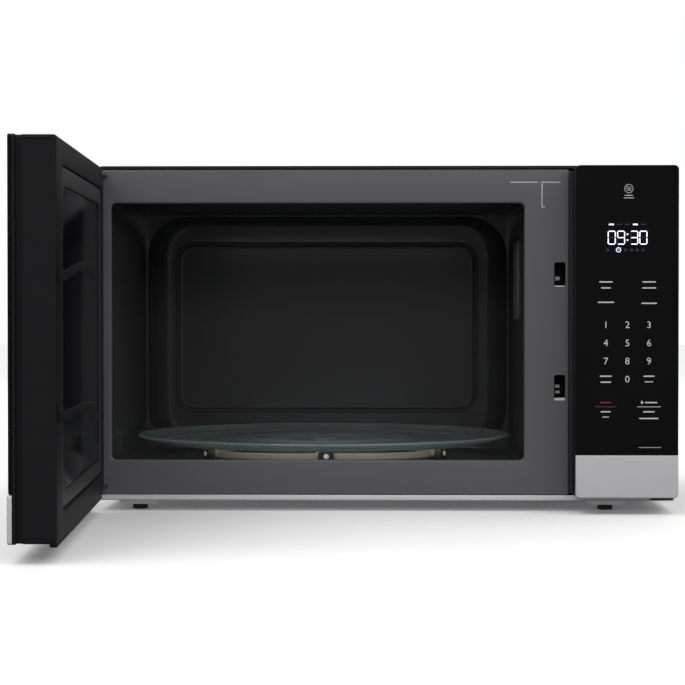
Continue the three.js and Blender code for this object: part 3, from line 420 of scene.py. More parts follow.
def carved(bm, *cutters):
    """The bmesh with the cutters' shapes taken away."""
    tool_mesh = bpy.data.meshes.new("tool")
    tool_bm = merged(*cutters)
    bmesh.ops.recalc_face_normals(tool_bm, faces=tool_bm.faces)
    tool_bm.to_mesh(tool_mesh)
    tool_bm.free()
    tool = bpy.data.objects.new("tool", tool_mesh)
    bpy.context.scene.collection.objects.link(tool)
    result = worked(bm, ("BOOLEAN", {"operation": "DIFFERENCE", "solver": "EXACT", "object": tool}))
    bpy.data.objects.remove(tool)
    bpy.data.meshes.remove(tool_mesh)
    return result


def lettering(texts, y):
    """Flat letters in the plane Y, from (words, x, z, capital height, align)."""
    cap_share = 0.70
    whole = bmesh.new()
    for words, x, z, cap, align in texts:
        curve = bpy.data.curves.new("words", "FONT")
        curve.body = words
        curve.size = cap / cap_share
        curve.align_x = align
        curve.align_y = "CENTER"
        curve.extrude = 0.03
        curve.resolution_u = 3
        holder = bpy.data.objects.new("words", curve)
        bpy.context.scene.collection.objects.link(holder)
        holder.matrix_world = Matrix.Translation((x, y, z)) @ Matrix.Rotation(math.pi / 2, 4, "X")
        bpy.context.view_layer.update()
        evaluated = holder.evaluated_get(bpy.context.evaluated_depsgraph_get())
        mesh = bpy.data.meshes.new_from_object(evaluated)
        mesh.transform(holder.matrix_world)
        whole.from_mesh(mesh)
        bpy.data.objects.remove(holder)
        bpy.data.curves.remove(curve)
        bpy.data.meshes.remove(mesh)
    return whole


# ---- camera, light and floor ----
def make_camera():
    camera_data = bpy.data.cameras.new("camera")
    camera_data.lens = 119.6
    camera_data.sensor_width = 36
    camera_data.clip_end = 50
    camera = bpy.data.objects.new("camera", camera_data)
    bpy.context.scene.collection.objects.link(camera)
    stand = Vector((2.5, -2400, 223))
    turn_left, tilt_down = math.radians(1.146), math.radians(1.07)
    camera.location = OVEN @ stand
    camera.rotation_euler = (math.pi / 2 - tilt_down, 0, turn_left)
    bpy.context.scene.camera = camera


def make_floor():
    reach, thick, gap = 9000, 20, 0.05
    bm = prism(rounded_rectangle((-reach, reach), (-reach, reach), 10), -thick, -gap, "z")
    bm.transform(Matrix.Scale(MM, 4))
    mesh = bpy.data.meshes.new("floor")
    bm.to_mesh(mesh)
    bm.free()
    floor = bpy.data.objects.new("floor", mesh)
    bpy.context.scene.collection.objects.link(floor)
    mesh.materials.append(
        material("floor_paper", (0.95, 0.95, 0.95), 0.9, grain=200, bump=0.02, mottle=0.005)
    )
    floor.visible_diffuse = False
    floor.visible_glossy = False


def area_light(name, at, look_at, size, power, mirrored=True):
    """A rectangular light, in metres and watts; an unmirrored one isn't seen in reflections."""
    data = bpy.data.lights.new(name, "AREA")
    data.shape = "RECTANGLE"
    data.size, data.size_y = size
    data.energy = power
    light = bpy.data.objects.new(name, data)
    light.location = at
    light.visible_glossy = mirrored
    light.rotation_euler = (Vector(look_at) - Vector(at)).to_track_quat("-Z", "Y").to_euler()
    bpy.context.scene.collection.objects.link(light)


def make_lights():
    middle = (0, 0, 0.2)
    area_light("key_light", (-1.5, -2.2, 2.9), middle, (1.8, 1.2), 20)
    area_light("front_light", (0, -3.2, 1.05), middle, (2.6, 0.5), 34, mirrored=False)
    lamp, lamp_aim = OVEN @ Vector((-72, 14, 321)), OVEN @ Vector((-72, 120, 0))
    area_light("oven_lamp_light", lamp, lamp_aim, (0.34, 0.012), 0.06)
    area_light("fill_light", (2.2, -2.0, 2.4), middle, (1.6, 1.2), 13)
    area_light("back_light", (0, 2.6, 2.4), (0, 0.2, 0.2), (3, 1.2), 20)


def make_studio():
    """A white room that lights the oven mostly from above, and looks grey in reflections."""
    low, high, mirrored, seen = (0.22, 0.22, 0.22), (1, 1, 1), (0.16, 0.16, 0.165), (1, 1, 1)
    world = bpy.data.worlds.new("studio")
    bpy.context.scene.world = world
    world.use_nodes = True
    tree = world.node_tree
    path = tree.nodes.new("ShaderNodeLightPath")
    towards = tree.nodes.new("ShaderNodeTexCoord")
    split = tree.nodes.new("ShaderNodeSeparateXYZ")
    tree.links.new(towards.outputs["Generated"], split.inputs["Vector"])
    height = ranged(tree, split.outputs["Z"], From_Min=-0.2, From_Max=0.1)
    lit = colour_mix(tree, height, low, high)
    reflected = colour_mix(tree, path.outputs["Is Glossy Ray"], lit, mirrored)
    shade = colour_mix(tree, path.outputs["Is Camera Ray"], reflected, seen)
    tree.links.new(shade, tree.nodes["Background"].inputs["Color"])
    bpy.context.scene.view_settings.view_transform = "Standard"


# ---- cabinet: frame, cavity, casing, pan ----
MOUTH = {"x": (-289.9, 145.8), "z": (53.9, 324.9), "radius": 5}
FACE = {"x": (-HALF_WIDTH, 192.8), "z": (17.4, 360.2), "radius": 2}
LATCH_SLOTS = {"x": (177.4, 189.1), "z": ((236.9, 262.7), (117.1, 144.1))}
BRACKET_TONGUES = ((352.7, 355.2), (24.6, 27.1))


def make_front_frame():
    def outer(by):
        return rounded_rectangle(inset(FACE["x"], by), inset(FACE["z"], by), FACE["radius"])

    def mouth(by):
        return rounded_rectangle(inset(MOUTH["x"], -by), inset(MOUTH["z"], -by), MOUTH["radius"] + by)

    edge_round, lip_round, lip_depth = 1.4, 2.4, 6.0
    loops = [facing(outer(0), 9.0)]
    loops += rolled(outer, edge_round, (edge_round, 0))
    loops += list(reversed(rolled(mouth, lip_round, (lip_round, 0), 6)))
    loops.append(facing(mouth(0), lip_depth))
    sheet = thickened(loft(loops), 1.0)
    slots = [prism(rounded_rectangle(LATCH_SLOTS["x"], z, 1.6, 4), -5, 6) for z in LATCH_SLOTS["z"]]
    tongue_x, clearance = (-320, -294.0), 0.3
    tongues = [
        prism(rounded_rectangle(tongue_x, inset(z, -clearance), 0.2, 1), -5, 20) for z in BRACKET_TONGUES
    ]
    sheet = carved(sheet, *slots, *tongues)
    link("front_frame_pressing", sheet, "frame_paint", "front_frame", "latch_plate")

    side_x, side_z, side_y = (192.2, 301.8), (19, 359), (3.5, 4.2)
    side = prism(rounded_rectangle(side_x, side_z, 1), *side_y)
    # painted shade: the side plate is in the frame's grey paint, drawn in the darker copy so that it reads as a
    # shaded recess
    link("frame_side_plate", soften(side, 0.3), "frame_paint", look=MATERIALS["shaded_frame_paint"])

    # rounded lips at the foot of each latch slot, drawn in bright galvanised metal as a painted highlight on the
    # edge
    lips = []
    for foot, _ in LATCH_SLOTS["z"]:
        outline = rounded_rectangle(inset(LATCH_SLOTS["x"], 0.4), (foot + 0.05, foot + 1.3), 0.3, 2)
        lips.append(soften(prism(outline, 0.2, 3.2), 0.25))
    link("latch_slot_lip_highlights", merged(*lips), "galvanised")


def make_frame_crease_highlight():
    """A fine raised crease near the frame's top right corner, in three strokes, drawn in a lighter grey as a
    painted highlight.
    """
    line = 1.3
    left, gap, right = 131.0, (159.8, 163.4), 184.0
    bar_z, stem_x, stem_foot = 346.8, 164.4, 321.5
    strokes = [
        ((left, gap[0]), (bar_z - line / 2, bar_z + line / 2)),
        ((gap[1], right), (bar_z - line / 2, bar_z + line / 2)),
        ((stem_x - line / 2, stem_x + line / 2), (stem_foot, bar_z - line)),
        ((stem_x - line / 2, stem_x + 3.2), (stem_foot - line, stem_foot)),
    ]
    bars = [soften(prism(rounded_rectangle(a, b, 0.2, 2), -0.12, 0.2), 0.08, 2) for a, b in strokes]
    # painted highlight: the crease is drawn in a lighter grey than the frame paint
    look = material("frame_crease_highlight_paint", (0.40, 0.40, 0.41), 0.35, 0.2, grain=900)
    link("frame_crease_highlight", merged(*bars), "frame_paint", look=look)


CAVITY = {"x": (-293.3, 149.3), "z": (42.0, 326.5), "front": 1.3, "back": 438.0}


def make_cavity():
    """The pressed liner: straight walls, then a drawn back with a ridge round its pressed panel."""
    curve_depth, side_round, level_round = 50.0, 26.0, 13.0
    edge, drawn_edge, back_edge, corner_steps = 4.0, 48.0, 34.0, 8
    step, steps, blend = 1.4, 14, 1.0
    x, z, back = CAVITY["x"], CAVITY["z"], CAVITY["back"]
    curve_start = back - curve_depth
    loops = []
    for y in (CAVITY["front"], 60, 160, 260, curve_start):
        loops.append(facing(rounded_rectangle(x, z, edge, corner_steps), y))
    for y in (curve_start + blend / 2, curve_start + blend):
        loops.append(facing(rounded_rectangle(inset(x, step), inset(z, step), drawn_edge, corner_steps), y))
    for i in range(1, steps + 1):
        angle = math.pi / 2 * i / steps
        bend = 1 - math.cos(angle)
        outline = rounded_rectangle(
            inset(x, step + (side_round - step) * bend), inset(z, step + (level_round - step) * bend),
            drawn_edge + (back_edge - drawn_edge) * bend, corner_steps,
        )
        loops.append(facing(outline, curve_start + blend + (curve_depth - blend) * math.sin(angle)))
    panel_x, panel_z, panel_round = (-262, 114), (83, 295), 24.0
    ridge = ((-2, 0), (0, 0), (0.7, -1.0), (1.8, -1.7), (2.9, -1.5), (3.8, -0.4), (4.6, 1.2), (5.8, 2.0),
             (7.5, 2.3), (9, 2.3), (12, 2.3))
    for by, deeper in ridge:
        outline = rounded_rectangle(inset(panel_x, by), inset(panel_z, by), panel_round - by, corner_steps)
        loops.append(facing(outline, back + deeper))
    shell = thickened(loft(loops, last_cap=True), 0.8, -1.0)
    link("cavity_pressing", shell, "cavity_enamel", "cavity_liner")


def grid(across, up):
    """Places in rows and columns; across and up are each (first, pitch, count)."""
    return [
        (across[0] + i * across[1], up[0] + j * up[1]) for i in range(across[2]) for j in range(up[2])
    ]


def wall_dots(places, x_low, x_high):
    """Small discs of painted shade on a side wall of the cavity, standing for holes, from their middles in Y and
    Z.
    """
    radius, sides = 1.3, 10
    turns = [2 * math.pi * i / sides for i in range(sides)]
    discs = []
    for y, z in places:
        circle = [(y + radius * math.cos(turn), z + radius * math.sin(turn)) for turn in turns]
        discs.append(prism(circle, x_low, x_high, "x"))
    return merged(*discs)


def make_wall_details():
    left, right = CAVITY["x"]
    vents = grid((18, 5.2, 9), (214, 6.4, 7)) + grid((18, 5.2, 9), (268, 6.4, 5))
    # painted shade: dark discs stand for the holes of the vents and the lamp window
    discs = wall_dots(vents, left - 0.2, left + 0.15)
    link("cavity_vent_hole_shade", discs, "cavity_enamel", look=SHADOW_BLACK)
    discs = wall_dots(grid((80, 5.0, 5), (298, 5.0, 5)), right - 0.15, right + 0.3)
    link("lamp_window_hole_shade", discs, "cavity_enamel", look=SHADOW_BLACK)

    bump_y, bump_z = 111, 64
    bump = revolve([(0, 2.6), (3, 2.3), (6, 1.2), (8, 0.1), (8, -0.3), (0, -0.3)], steps=32)
    bump.transform(Matrix.Translation((left, bump_y, bump_z)) @ Matrix.Rotation(math.pi / 2, 4, "Y"))
    link("cavity_wall_bump", bump, "cavity_enamel")


def make_floor_track():
    """The shallow pressed ring in the cavity floor around the roller path."""
    middle, half_width, steps = 176, 4, 96
    floor = CAVITY["z"][0]
    profile = [(-half_width, -0.3), (-half_width, 0.02), (-2, 0.2), (0, 0.25), (2, 0.2), (half_width, 0.02),
               (half_width, -0.3)]
    loops = []
    for across, up in profile:
        radius = middle + across
        ring = []
        for i in range(steps):
            angle = 2 * math.pi * i / steps
            x = TRAY_CENTRE[0] + radius * math.cos(angle)
            ring.append(Vector((x, TRAY_CENTRE[1] + radius * math.sin(angle), floor + up)))
        loops.append(ring)
    track = loft(loops, closed=True)
    link("cavity_floor_bead", track, "cavity_enamel")


def make_waveguide_cover():
    x, y, z = oven_box("waveguide_cover")
    plate = soften(prism(rounded_rectangle(y, z, 7, 5), *x, "x"), 0.25, 2)
    link("waveguide_cover_sheet", plate, "mica", "waveguide_cover")


def vent_slots(centres, size, along, axis):
    """Cutters for rows of round-ended slots through a wall."""
    cutters = []
    for a, b in centres:
        outline = rounded_rectangle((a, a + size[0]), (b, b + size[1]), min(size) / 2 - 0.01, 4)
        cutters.append(prism(outline, *along, axis))
    return cutters


def make_casing():
    """The bent casing sheet with its front hem, open underneath, with vents in its right side."""
    _, (front, back), (bottom, top) = oven_box("outer_casing")
    sheet, corner, hem, edge, below = 1.0, 4.0, 3.0, 0.6, 20
    span_x, span_z = (-HALF_WIDTH, HALF_WIDTH), (bottom - below, top)

    def section(by, radius):
        return rounded_rectangle(inset(span_x, by), inset(span_z, by), radius, 6)

    outer, inner, hem_inner = section(0, corner), section(sheet, corner - sheet), section(hem, 1.2)
    loops = [
        facing(outer, back), facing(outer, front + edge), facing(section(edge, corner - edge), front),
        facing(hem_inner, front), facing(hem_inner, front + sheet), facing(inner, front + sheet),
        facing(inner, back),
    ]
    shell = loft(loops, closed=True)
    vents = grid((310, 54, 2), (70, 14, 7))
    cutters = vent_slots(vents, (44, 5), (HALF_WIDTH - 2, HALF_WIDTH + 1), "x")
    cutters.append(prism([(-400, -200), (400, -200), (400, bottom), (-400, bottom)], front - 5, back + 5))
    shell = carved(shell, *cutters)
    link("casing_sheet", shell, "casing_paint", "outer_casing")


def screw(x, z, y):
    """A pan head with a cross recess, on a face that looks along +Y."""
    profile = [(0, 0), (4.0, 0), (4.0, 0.8), (3.2, 1.7), (1.8, 2.2), (0, 2.3)]
    head = revolve([(radius, y + height) for radius, height in profile], (x, z), 28, "y")
    long, half = 2.1, 0.4
    recess = (((-long, long), (-half, half)), ((-half, half), (-long, -half - 0.01)),
              ((-half, half), (half + 0.01, long)))
    arms = []
    for a, b in recess:
        outline = rounded_rectangle((x + a[0], x + a[1]), (z + b[0], z + b[1]), 0.2, 2)
        arms.append(prism(outline, y + 1.2, y + 3))
    return carved(head, *arms)


def make_rear():
    x, _, z = oven_box("rear_panel")
    front, deep = 449.0, 461.9
    plate = soften(prism(rounded_rectangle(x, z, 3, 4), front, front + 1), 0.3, 2)
    bulges = (((158, 292), (70, 338), 12), ((-286, -252), (74, 108), 8), ((-286, -252), (272, 306), 8))
    shells = []
    for span_x, span_z, radius in bulges:
        def outline(by, a=span_x, b=span_z, r=radius):
            return rounded_rectangle(inset(a, by), inset(b, by), r - min(by, r - 1), 6)

        loops = [facing(outline(0), front + 0.5), facing(outline(0), front + 1.2)]
        loops += rolled(outline, 5.0, (deep - 5.0, deep), 6)
        shells.append(thickened(loft(loops, last_cap=True), 1.0))
    slots = vent_slots(grid((172, 58, 2), (100, 16, 14)), (48, 6), (deep - 4, deep + 2), "y")
    shells[0] = carved(shells[0], *slots)
    # painted shade: a dark sheet behind the vent slots stands for the shade inside the casing
    dark = prism(rounded_rectangle((164, 286), (76, 332), 6, 4), front + 1.1, front + 1.6)
    link("rear_sheet", merged(plate, *shells), "casing_paint", "rear_panel")
    link("rear_vent_shade", dark, "casing_paint", look=SHADOW_BLACK)
    places = [(-294, 24), (-294, 180), (-294, 350), (-120, 353), (60, 353), (200, 353), (294, 350),
              (294, 180), (294, 24), (60, 24), (-120, 24)]
    screws = [screw(*place, front + 1) for place in places]
    link("rear_screws", merged(*screws), "pin_steel")


FEET_X, FEET_Y = (-262.7, 233.9), (30, 410)


def make_pan():
    edge_x, _, _ = oven_box("base_pan")
    floor, sheet, flange_top = 11.3, 1.0, 17.1
    y = (0.3, 448.7)
    plate = soften(prism(rounded_rectangle(edge_x, y, 2, 4), floor, floor + sheet, "z"), 0.3, 2)
    lip_outline = rounded_rectangle((edge_x[0], 279), (floor, flange_top), 2.4, 5)
    lip = soften(prism(lip_outline, y[0], y[0] + sheet), 0.35, 3)
    bumps = []
    bump_steps = ((23, floor + 0.6, 7), (22, floor - 0.4, 7), (19.5, floor - 3.6, 6), (18.6, 6.9, 6),
                  (17.4, 6.2, 5.4), (16.0, 6.0, 5))
    for x in FEET_X:
        for foot_y in FEET_Y:
            loops = []
            for half, height, radius in bump_steps:
                outline = rounded_rectangle((x - half, x + half), (foot_y - half, foot_y + half), radius, 6)
                loops.append(level(outline, height))
            bumps.append(loft(loops, first_cap=True, last_cap=True))
    slots = vent_slots(grid((160, 15, 8), (120, 0, 1)), (5, 70), (floor - 2, floor + 3), "z")
    plate = carved(plate, *slots)
    pan = merged(plate, lip, *bumps)
    link("base_pan_pressing", pan, "galvanised", "base_pan")
    profile = [(0, 0.8), (5.6, 0.8), (6.2, 0), (7.4, 0), (8.1, 0.5), (8.25, 1.3), (7.6, 5.2), (7.2, 5.7),
               (3, 5.7), (3, 5.95), (0, 5.95)]
    for side, x in zip(("left", "right"), FEET_X):
        for end, foot_y in zip(("front", "rear"), FEET_Y):
            node = f"{end}_{side}_foot"
            foot = revolve(profile, (x, foot_y), 40)
            link(node + "_pad", foot, "foot_rubber", node)


# ---- control panel ----
PANEL_X, PANEL_Z = oven_box("control_panel_frame")[0], oven_box("control_panel_frame")[2]
PANEL_FRONT = oven_box("control_panel_glass")[1][0]
COLUMN = 22.3
PANEL_MIDDLE = sum(PANEL_X) / 2 + 0.2


def panel_outline(by, low, high, square=""):
    """The panel's rounded outline between two heights, with square corners at its top or its bottom."""
    radius = 4.6 - min(by, 2)
    span = (low + by, high - by)
    beyond = (span[0] - radius * (square == "bottom"), span[1] + radius * (square == "top"))
    points = rounded_rectangle(inset(PANEL_X, by), beyond, radius)
    return [(x, min(max(z, span[0]), span[1])) for x, z in points]


def make_panel():
    _, (front, back), _ = oven_box("control_panel_frame")

    def housing(by):
        return panel_outline(by, *PANEL_Z)

    loops = [facing(housing(0), back), facing(housing(0), front + 1.2)]
    loops += rolled(housing, 1.0, (front + 1.0, front + 0.1), 3)
    shell = thickened(loft(loops, last_cap=True), 2.0)
    window_x, window_z = (222, 279), (269, 304)
    window = prism(rounded_rectangle(window_x, window_z, 2, 3), front - 2, front + 5)
    link("panel_housing", carved(shell, window), "black_plastic", "control_panel_frame")

    (_, glass_back), glass_z = oven_box("control_panel_glass")[1:]

    def glass(by):
        return panel_outline(by, *glass_z, "bottom")

    loops = [facing(glass(0.6), glass_back)]
    loops += [facing(glass(0), y) for y in (glass_back - 0.4, PANEL_FRONT + 0.8)]
    loops += rolled(glass, 0.8, (PANEL_FRONT + 0.8, PANEL_FRONT), 4)
    sheet = loft(loops, first_cap=True, last_cap=True)
    link("panel_front_glass", sheet, "front_glass", "control_panel_glass")

    (trim_front, trim_back), trim_z = oven_box("control_lower_trim")[1:]

    def trim(by):
        return panel_outline(by, *trim_z, "top")

    loops = [facing(trim(0), trim_back), facing(trim(0), trim_front + 1.6)]
    loops += rolled(trim, 1.6, (trim_front + 1.6, trim_front), 6)
    strip = loft(loops, first_cap=True, last_cap=True)
    link("panel_lower_strip", strip, "silver_trim", "control_lower_trim")


SEGMENTS = {"0": "abcdef", "9": "abcdfg", "3": "abcdg"}


def digit_segments(which, left, low, wide=8.3, tall=14.4, thick=1.05):
    """Seven-segment bars; which names the bars to draw."""
    half, gap = tall / 2, 0.28
    x0, x1 = left, left + wide
    z0, z1, z2 = low, low + half, low + tall
    t = thick / 2
    level_bars = {"a": z2 - t, "g": z1, "d": z0 + t}
    upper, lower = (z1, z2 - t), (z0 + t, z1)
    upright_bars = {
        "f": (x0 + t, *upper), "b": (x1 - t, *upper), "e": (x0 + t, *lower), "c": (x1 - t, *lower),
    }
    bars = []
    for name in which:
        if name in level_bars:
            z, a, b = level_bars[name], x0 + t + gap, x1 - t - gap
            bars.append([(a, z), (a + t, z - t), (b - t, z - t), (b, z), (b - t, z + t), (a + t, z + t)])
        else:
            x, a, b = upright_bars[name]
            a, b = a + gap, b - gap
            bars.append([(x, a), (x + t, a + t), (x + t, b - t), (x, b), (x - t, b - t), (x - t, a + t)])
    return bars


def flat_ring(centre, radii, span_y, steps):
    """A thin ring on the panel, between two radii and two depths."""
    (inner, outer), (front, back) = radii, span_y
    turns = [2 * math.pi * i / steps for i in range(steps)]
    loops = []
    for radius, y in ((outer, back), (outer, front), (inner, front), (inner, back)):
        loops.append([
            Vector((centre[0] + radius * math.cos(a), y, centre[1] + radius * math.sin(a))) for a in turns
        ])
    return loft(loops, closed=True)


def make_display():
    lit, dim = [], []
    low, starts = 280.3, (229.7, 239.4, 253.0, 262.4)
    for left, digit in zip(starts, "0930"):
        on = SEGMENTS[digit]
        lit += digit_segments(on, left, low)
        dim += digit_segments([name for name in "abcdefg" if name not in on], left, low)
    for z in (285.0, 291.0):
        lit.append(rounded_rectangle((249.4, 250.9), (z - 0.75, z + 0.75), 0.3, 2))
    flag_z, flag_size = 300.4, (5.2, 1.5)
    for x, on in ((230.8, True), (239.0, False), (247.2, False), (255.6, True), (264.0, False)):
        outline = rounded_rectangle((x, x + flag_size[0]), (flag_z, flag_z + flag_size[1]), 0.4, 2)
        (lit if on else dim).append(outline)
    for x in (228.0, 246.5, 252.5, 258.5, 264.5):
        dim.append(rounded_rectangle((x, x + 3.4), (273.2, 276.2), 0.8, 3))
    y = PANEL_FRONT

    def flat(outlines):
        return merged(*[prism(outline, y - 0.05, y + 0.1) for outline in outlines])

    clock = (240.9, 274.9)
    clock_ring = flat_ring(clock, (2.05, 2.6), (y - 0.05, y + 0.1), 40)
    hands = [prism(rounded_rectangle(a, b, 0.15, 2), y - 0.05, y + 0.1)
             for a, b in (((240.65, 241.1), (274.9, 276.4)), ((241.1, 242.2), (274.7, 275.1)))]
    lit_bm = merged(flat(lit), clock_ring, *hands)
    link("display_lit_marks", lit_bm, "window_film", look=SEGMENT_ON)
    link("display_dim_marks", flat(dim), "window_film", look=SEGMENT_OFF)


def make_key_marks():
    """The numbers, and plain bars and signs where the keys carry their names."""
    y = PANEL_FRONT - 0.04
    left, mid, right = (PANEL_MIDDLE + step * COLUMN for step in (-1, 0, 1))
    first_row, row_pitch, cap = 197.0, 18.8, 7.0
    texts = []
    for row in range(3):
        for column, x in enumerate((left, mid, right)):
            texts.append((str(row * 3 + column + 1), x, first_row - row * row_pitch, cap, "CENTER"))
    texts.append(("0", mid, first_row - 3 * row_pitch, cap, "CENTER"))
    link("key_numbers", lettering(texts, y), "front_glass", look=PRINT_WHITE)

    def bar(x, z, long, high=1.3):
        span_x, span_z = (x - long / 2, x + long / 2), (z - high / 2, z + high / 2)
        return rounded_rectangle(span_x, span_z, min(high, long) * 0.45, 2)

    def flat(outlines):
        return merged(*[prism(outline, y - 0.02, y + 0.1) for outline in outlines])

    line_z, line_high = 112.4, 0.6
    white = [
        bar(left, 241.7, 14), bar(left, 235.5, 10), bar(right, 241.7, 14), bar(right, 235.5, 14.5),
        bar(left, 220.6, 17), bar(right, 219.6, 16),
        bar(left, 144.1, 12.5), bar(left, 137.9, 11), bar(right, 144.1, 11.5), bar(right, 138.3, 9, 0.9),
        bar(left, 107.2, 10.5), bar(left, 101.7, 7, 0.9), bar(right, 107.2, 12), bar(right, 100.3, 20),
        bar(right + 2.4, 116.8, 13), bar(right, line_z, 24.3, line_high),
        [(right - 8.6, 116.8), (right - 7.1, 115.0), (right - 5.6, 116.8), (right - 7.1, 118.6)],
    ]
    link("key_name_bars", flat(white), "front_glass", look=PRINT_WHITE)
    red = [bar(left, 116.8, 11.5), bar(left, line_z, 21.5, line_high)]
    link("stop_key_bars", flat(red), "front_glass", look=PRINT_RED)
    note = [bar(right + 1.2, 70.2, 23, 0.8)]
    link("note_bar", flat(note), "front_glass", look=PRINT_GREY)

    icon, icon_radius, stroke = (251.4, 338.2), 4.6, 0.5
    icon_ring = flat_ring(icon, (icon_radius - stroke, icon_radius), (y, y + 0.1), 48)
    waves = []
    for row in (-1.7, 0.0, 1.7):
        top = []
        for i in range(14):
            wave_z = icon[1] + row + 0.4 * math.sin(i * 0.97)
            top.append((icon[0] - 2.6 + i * 0.4, wave_z + stroke / 2))
        under = [(x, z - stroke) for x, z in reversed(top)]
        waves.append(prism(under + top, y, y + 0.1))
    lines = [prism(bar(icon[0], z, long, 0.7), y, y + 0.1) for z, long in ((331.2, 9), (328.6, 11))]
    icon_bm = merged(icon_ring, *waves, *lines)
    link("panel_heat_sign", icon_bm, "front_glass", look=PRINT_WHITE)


# ---- door ----
DOOR_U, DOOR_Z = (-2.7, 495.3), (17.2, 362.4)
COVER_U, COVER_Z = (-2.7, 493.5), (17.5, 362.1)
PAN_U, PAN_Z, PAN_ROUND = (14.3, 445.7), (41.7, 339.1), 15.7
WINDOW_U, WINDOW_Z, WINDOW_ROUND = (30, 428), (57, 322), 20
GLASS_FRONT, GLASS_BACK, LIP_BACK, COVER_FRONT, INNER = -37.8, -34.8, -31.8, -26.0, 3.0
TRIM_TOP = 59.3
HOOK_U, HOOK_DROP = (481.5, 486.5), 118.7


def door_outline(by, low, high, radius=3.0):
    return rounded_rectangle(inset(DOOR_U, by), (low + by, high - by), max(radius - by, 0.8))


def make_door_front():
    low = TRIM_TOP + 0.3

    def glass(by):
        return door_outline(by, low, DOOR_Z[1])

    loops = [facing(glass(0.4), GLASS_BACK), facing(glass(0), GLASS_BACK - 0.4)]
    loops += rolled(glass, 0.8, (GLASS_FRONT + 0.8, GLASS_FRONT), 4)
    sheet = loft(loops, first_cap=True, last_cap=True)
    link("door_front_glass", sheet, "front_glass", "door_glass", body="door")

    def trim(by):
        return door_outline(by, DOOR_Z[0], TRIM_TOP)

    front = GLASS_FRONT - 1.2
    loops = [facing(trim(0), GLASS_BACK)]
    loops += rolled(trim, 1.6, (front + 1.6, front), 6)
    strip = loft(loops, first_cap=True, last_cap=True)
    link("door_lower_strip", strip, "silver_trim", "door_lower_trim", body="door")

    def lip(by):
        return door_outline(by, *DOOR_Z)

    def opening(by):
        return rounded_rectangle(inset(WINDOW_U, 3 - by), inset(WINDOW_Z, 3 - by), WINDOW_ROUND)

    neck_u, neck_z = (1.5, 490.5), (17.8, 361.8)
    neck = rounded_rectangle(neck_u, neck_z, 2)
    neck_inner = rounded_rectangle(inset(neck_u, 3), inset(neck_z, 3), 1)
    gap = 0.3
    loops = [facing(opening(0), GLASS_BACK + gap), facing(lip(0.4), GLASS_BACK + gap)]
    loops.append(facing(lip(0), GLASS_BACK + 0.7))
    loops += rolled(lip, 0.6, (LIP_BACK - 0.6, LIP_BACK), 3)
    loops += [facing(neck, LIP_BACK), facing(neck, COVER_FRONT - gap)]
    loops += [facing(neck_inner, COVER_FRONT - gap), facing(neck_inner, LIP_BACK - gap)]
    loops.append(facing(opening(0), LIP_BACK - gap))
    moulding = loft(loops, closed=True)
    link("door_frame_moulding", moulding, "black_plastic", "door_frame", body="door")


def make_door_inside():
    def pan(by):
        return rounded_rectangle(inset(PAN_U, by), inset(PAN_Z, by), PAN_ROUND - by, 8)

    def window(by):
        return rounded_rectangle(inset(WINDOW_U, -by), inset(WINDOW_Z, -by), WINDOW_ROUND + by, 8)

    face = 2.0
    loops = [facing(pan(0), -24.5)]
    loops += rolled(pan, 2.2, (face - 2.2, face), 6)
    loops += list(reversed(rolled(window, 1.2, (face - 1.0, face), 4)))
    loops.append(facing(window(0), face - 1.6))
    band = thickened(loft(loops), 0.9)
    brim_u, brim_z = (1.5, 477), (26, 354.2)
    brim_inner = rounded_rectangle(inset(PAN_U, 1), inset(PAN_Z, 1), PAN_ROUND, 8)
    brim_outer = rounded_rectangle(brim_u, brim_z, 2, 8)
    brim = loft([facing(brim_inner, -25.5), facing(brim_outer, -25.5), facing(brim_outer, -24.5),
                 facing(brim_inner, -24.5)], closed=True)
    # painted shade: the door pan is in the frame's grey paint, drawn in the darker copy as if in shade
    link(
        "door_pan_pressing", merged(band, brim), "frame_paint", "door_inner_pan",
        body="door", look=MATERIALS["shaded_frame_paint"],
    )

    film = prism(rounded_rectangle(inset(WINDOW_U, -8), inset(WINDOW_Z, -8), WINDOW_ROUND + 4, 8), -0.8, 0.65)
    link("door_window_film", soften(film, 0.2, 2), "window_film", "door_inner_window", body="door")

    def cover(by):
        return rounded_rectangle(inset(COVER_U, by), inset(COVER_Z, by), 3.4 - min(by, 2), 8)

    def mouth(by):
        return rounded_rectangle(inset(PAN_U, -0.3 - by), inset(PAN_Z, -0.3 - by), PAN_ROUND + 0.3 + by, 8)

    loops = [facing(cover(0), COVER_FRONT)]
    loops += rolled(cover, 2.4, (INNER - 2.4, INNER), 5)
    loops += list(reversed(rolled(mouth, 2.0, (INNER - 2.0, INNER), 4)))
    loops.append(facing(mouth(0), -1.5))
    ring = thickened(loft(loops), 1.6)
    cutters = [prism(rounded_rectangle(inset(HOOK_U, -0.9), (238.2 - drop, 252.9 - drop), 0.6, 3), -6, 8)
               for drop in (0, HOOK_DROP)]
    notch_low, notch_high, notch_radius = BRACKET_TONGUES[1][1] + 0.3, BRACKET_TONGUES[0][0] - 0.3, 8.6
    beyond = 400
    for low, high in ((0, notch_low), (notch_high, beyond)):
        cutters.append(revolve([(0, low), (notch_radius, low), (notch_radius, high), (0, high)], (0, 0), 40))
    for z in ((356.4, 359.0), (20.8, 22.6)):
        cutters.append(prism(rounded_rectangle((COVER_U[1] - 1.2, 500), z, 0.3, 2), -30, -1))
    ring = carved(ring, *cutters)
    bosses = []
    for low in (notch_low, notch_high - 15):
        boss = soften(prism(rounded_rectangle((-1.7, 6), (-6, 2), 1.5, 4), low, low + 15, "z"), 0.3, 2)
        bore = revolve([(0, 0), (2.3, 0), (2.3, beyond), (0, beyond)], (0, 0), 24)
        bosses.append(carved(boss, bore))
    lip = soften(prism(rounded_rectangle((10, 485), (13.9, COVER_Z[0] + 1.5), 0.8, 3), -4, 2), 0.5, 3)
    link(
        "door_cover_moulding", merged(ring, lip, *bosses), "black_plastic", "door_choke_cover", body="door",
    )


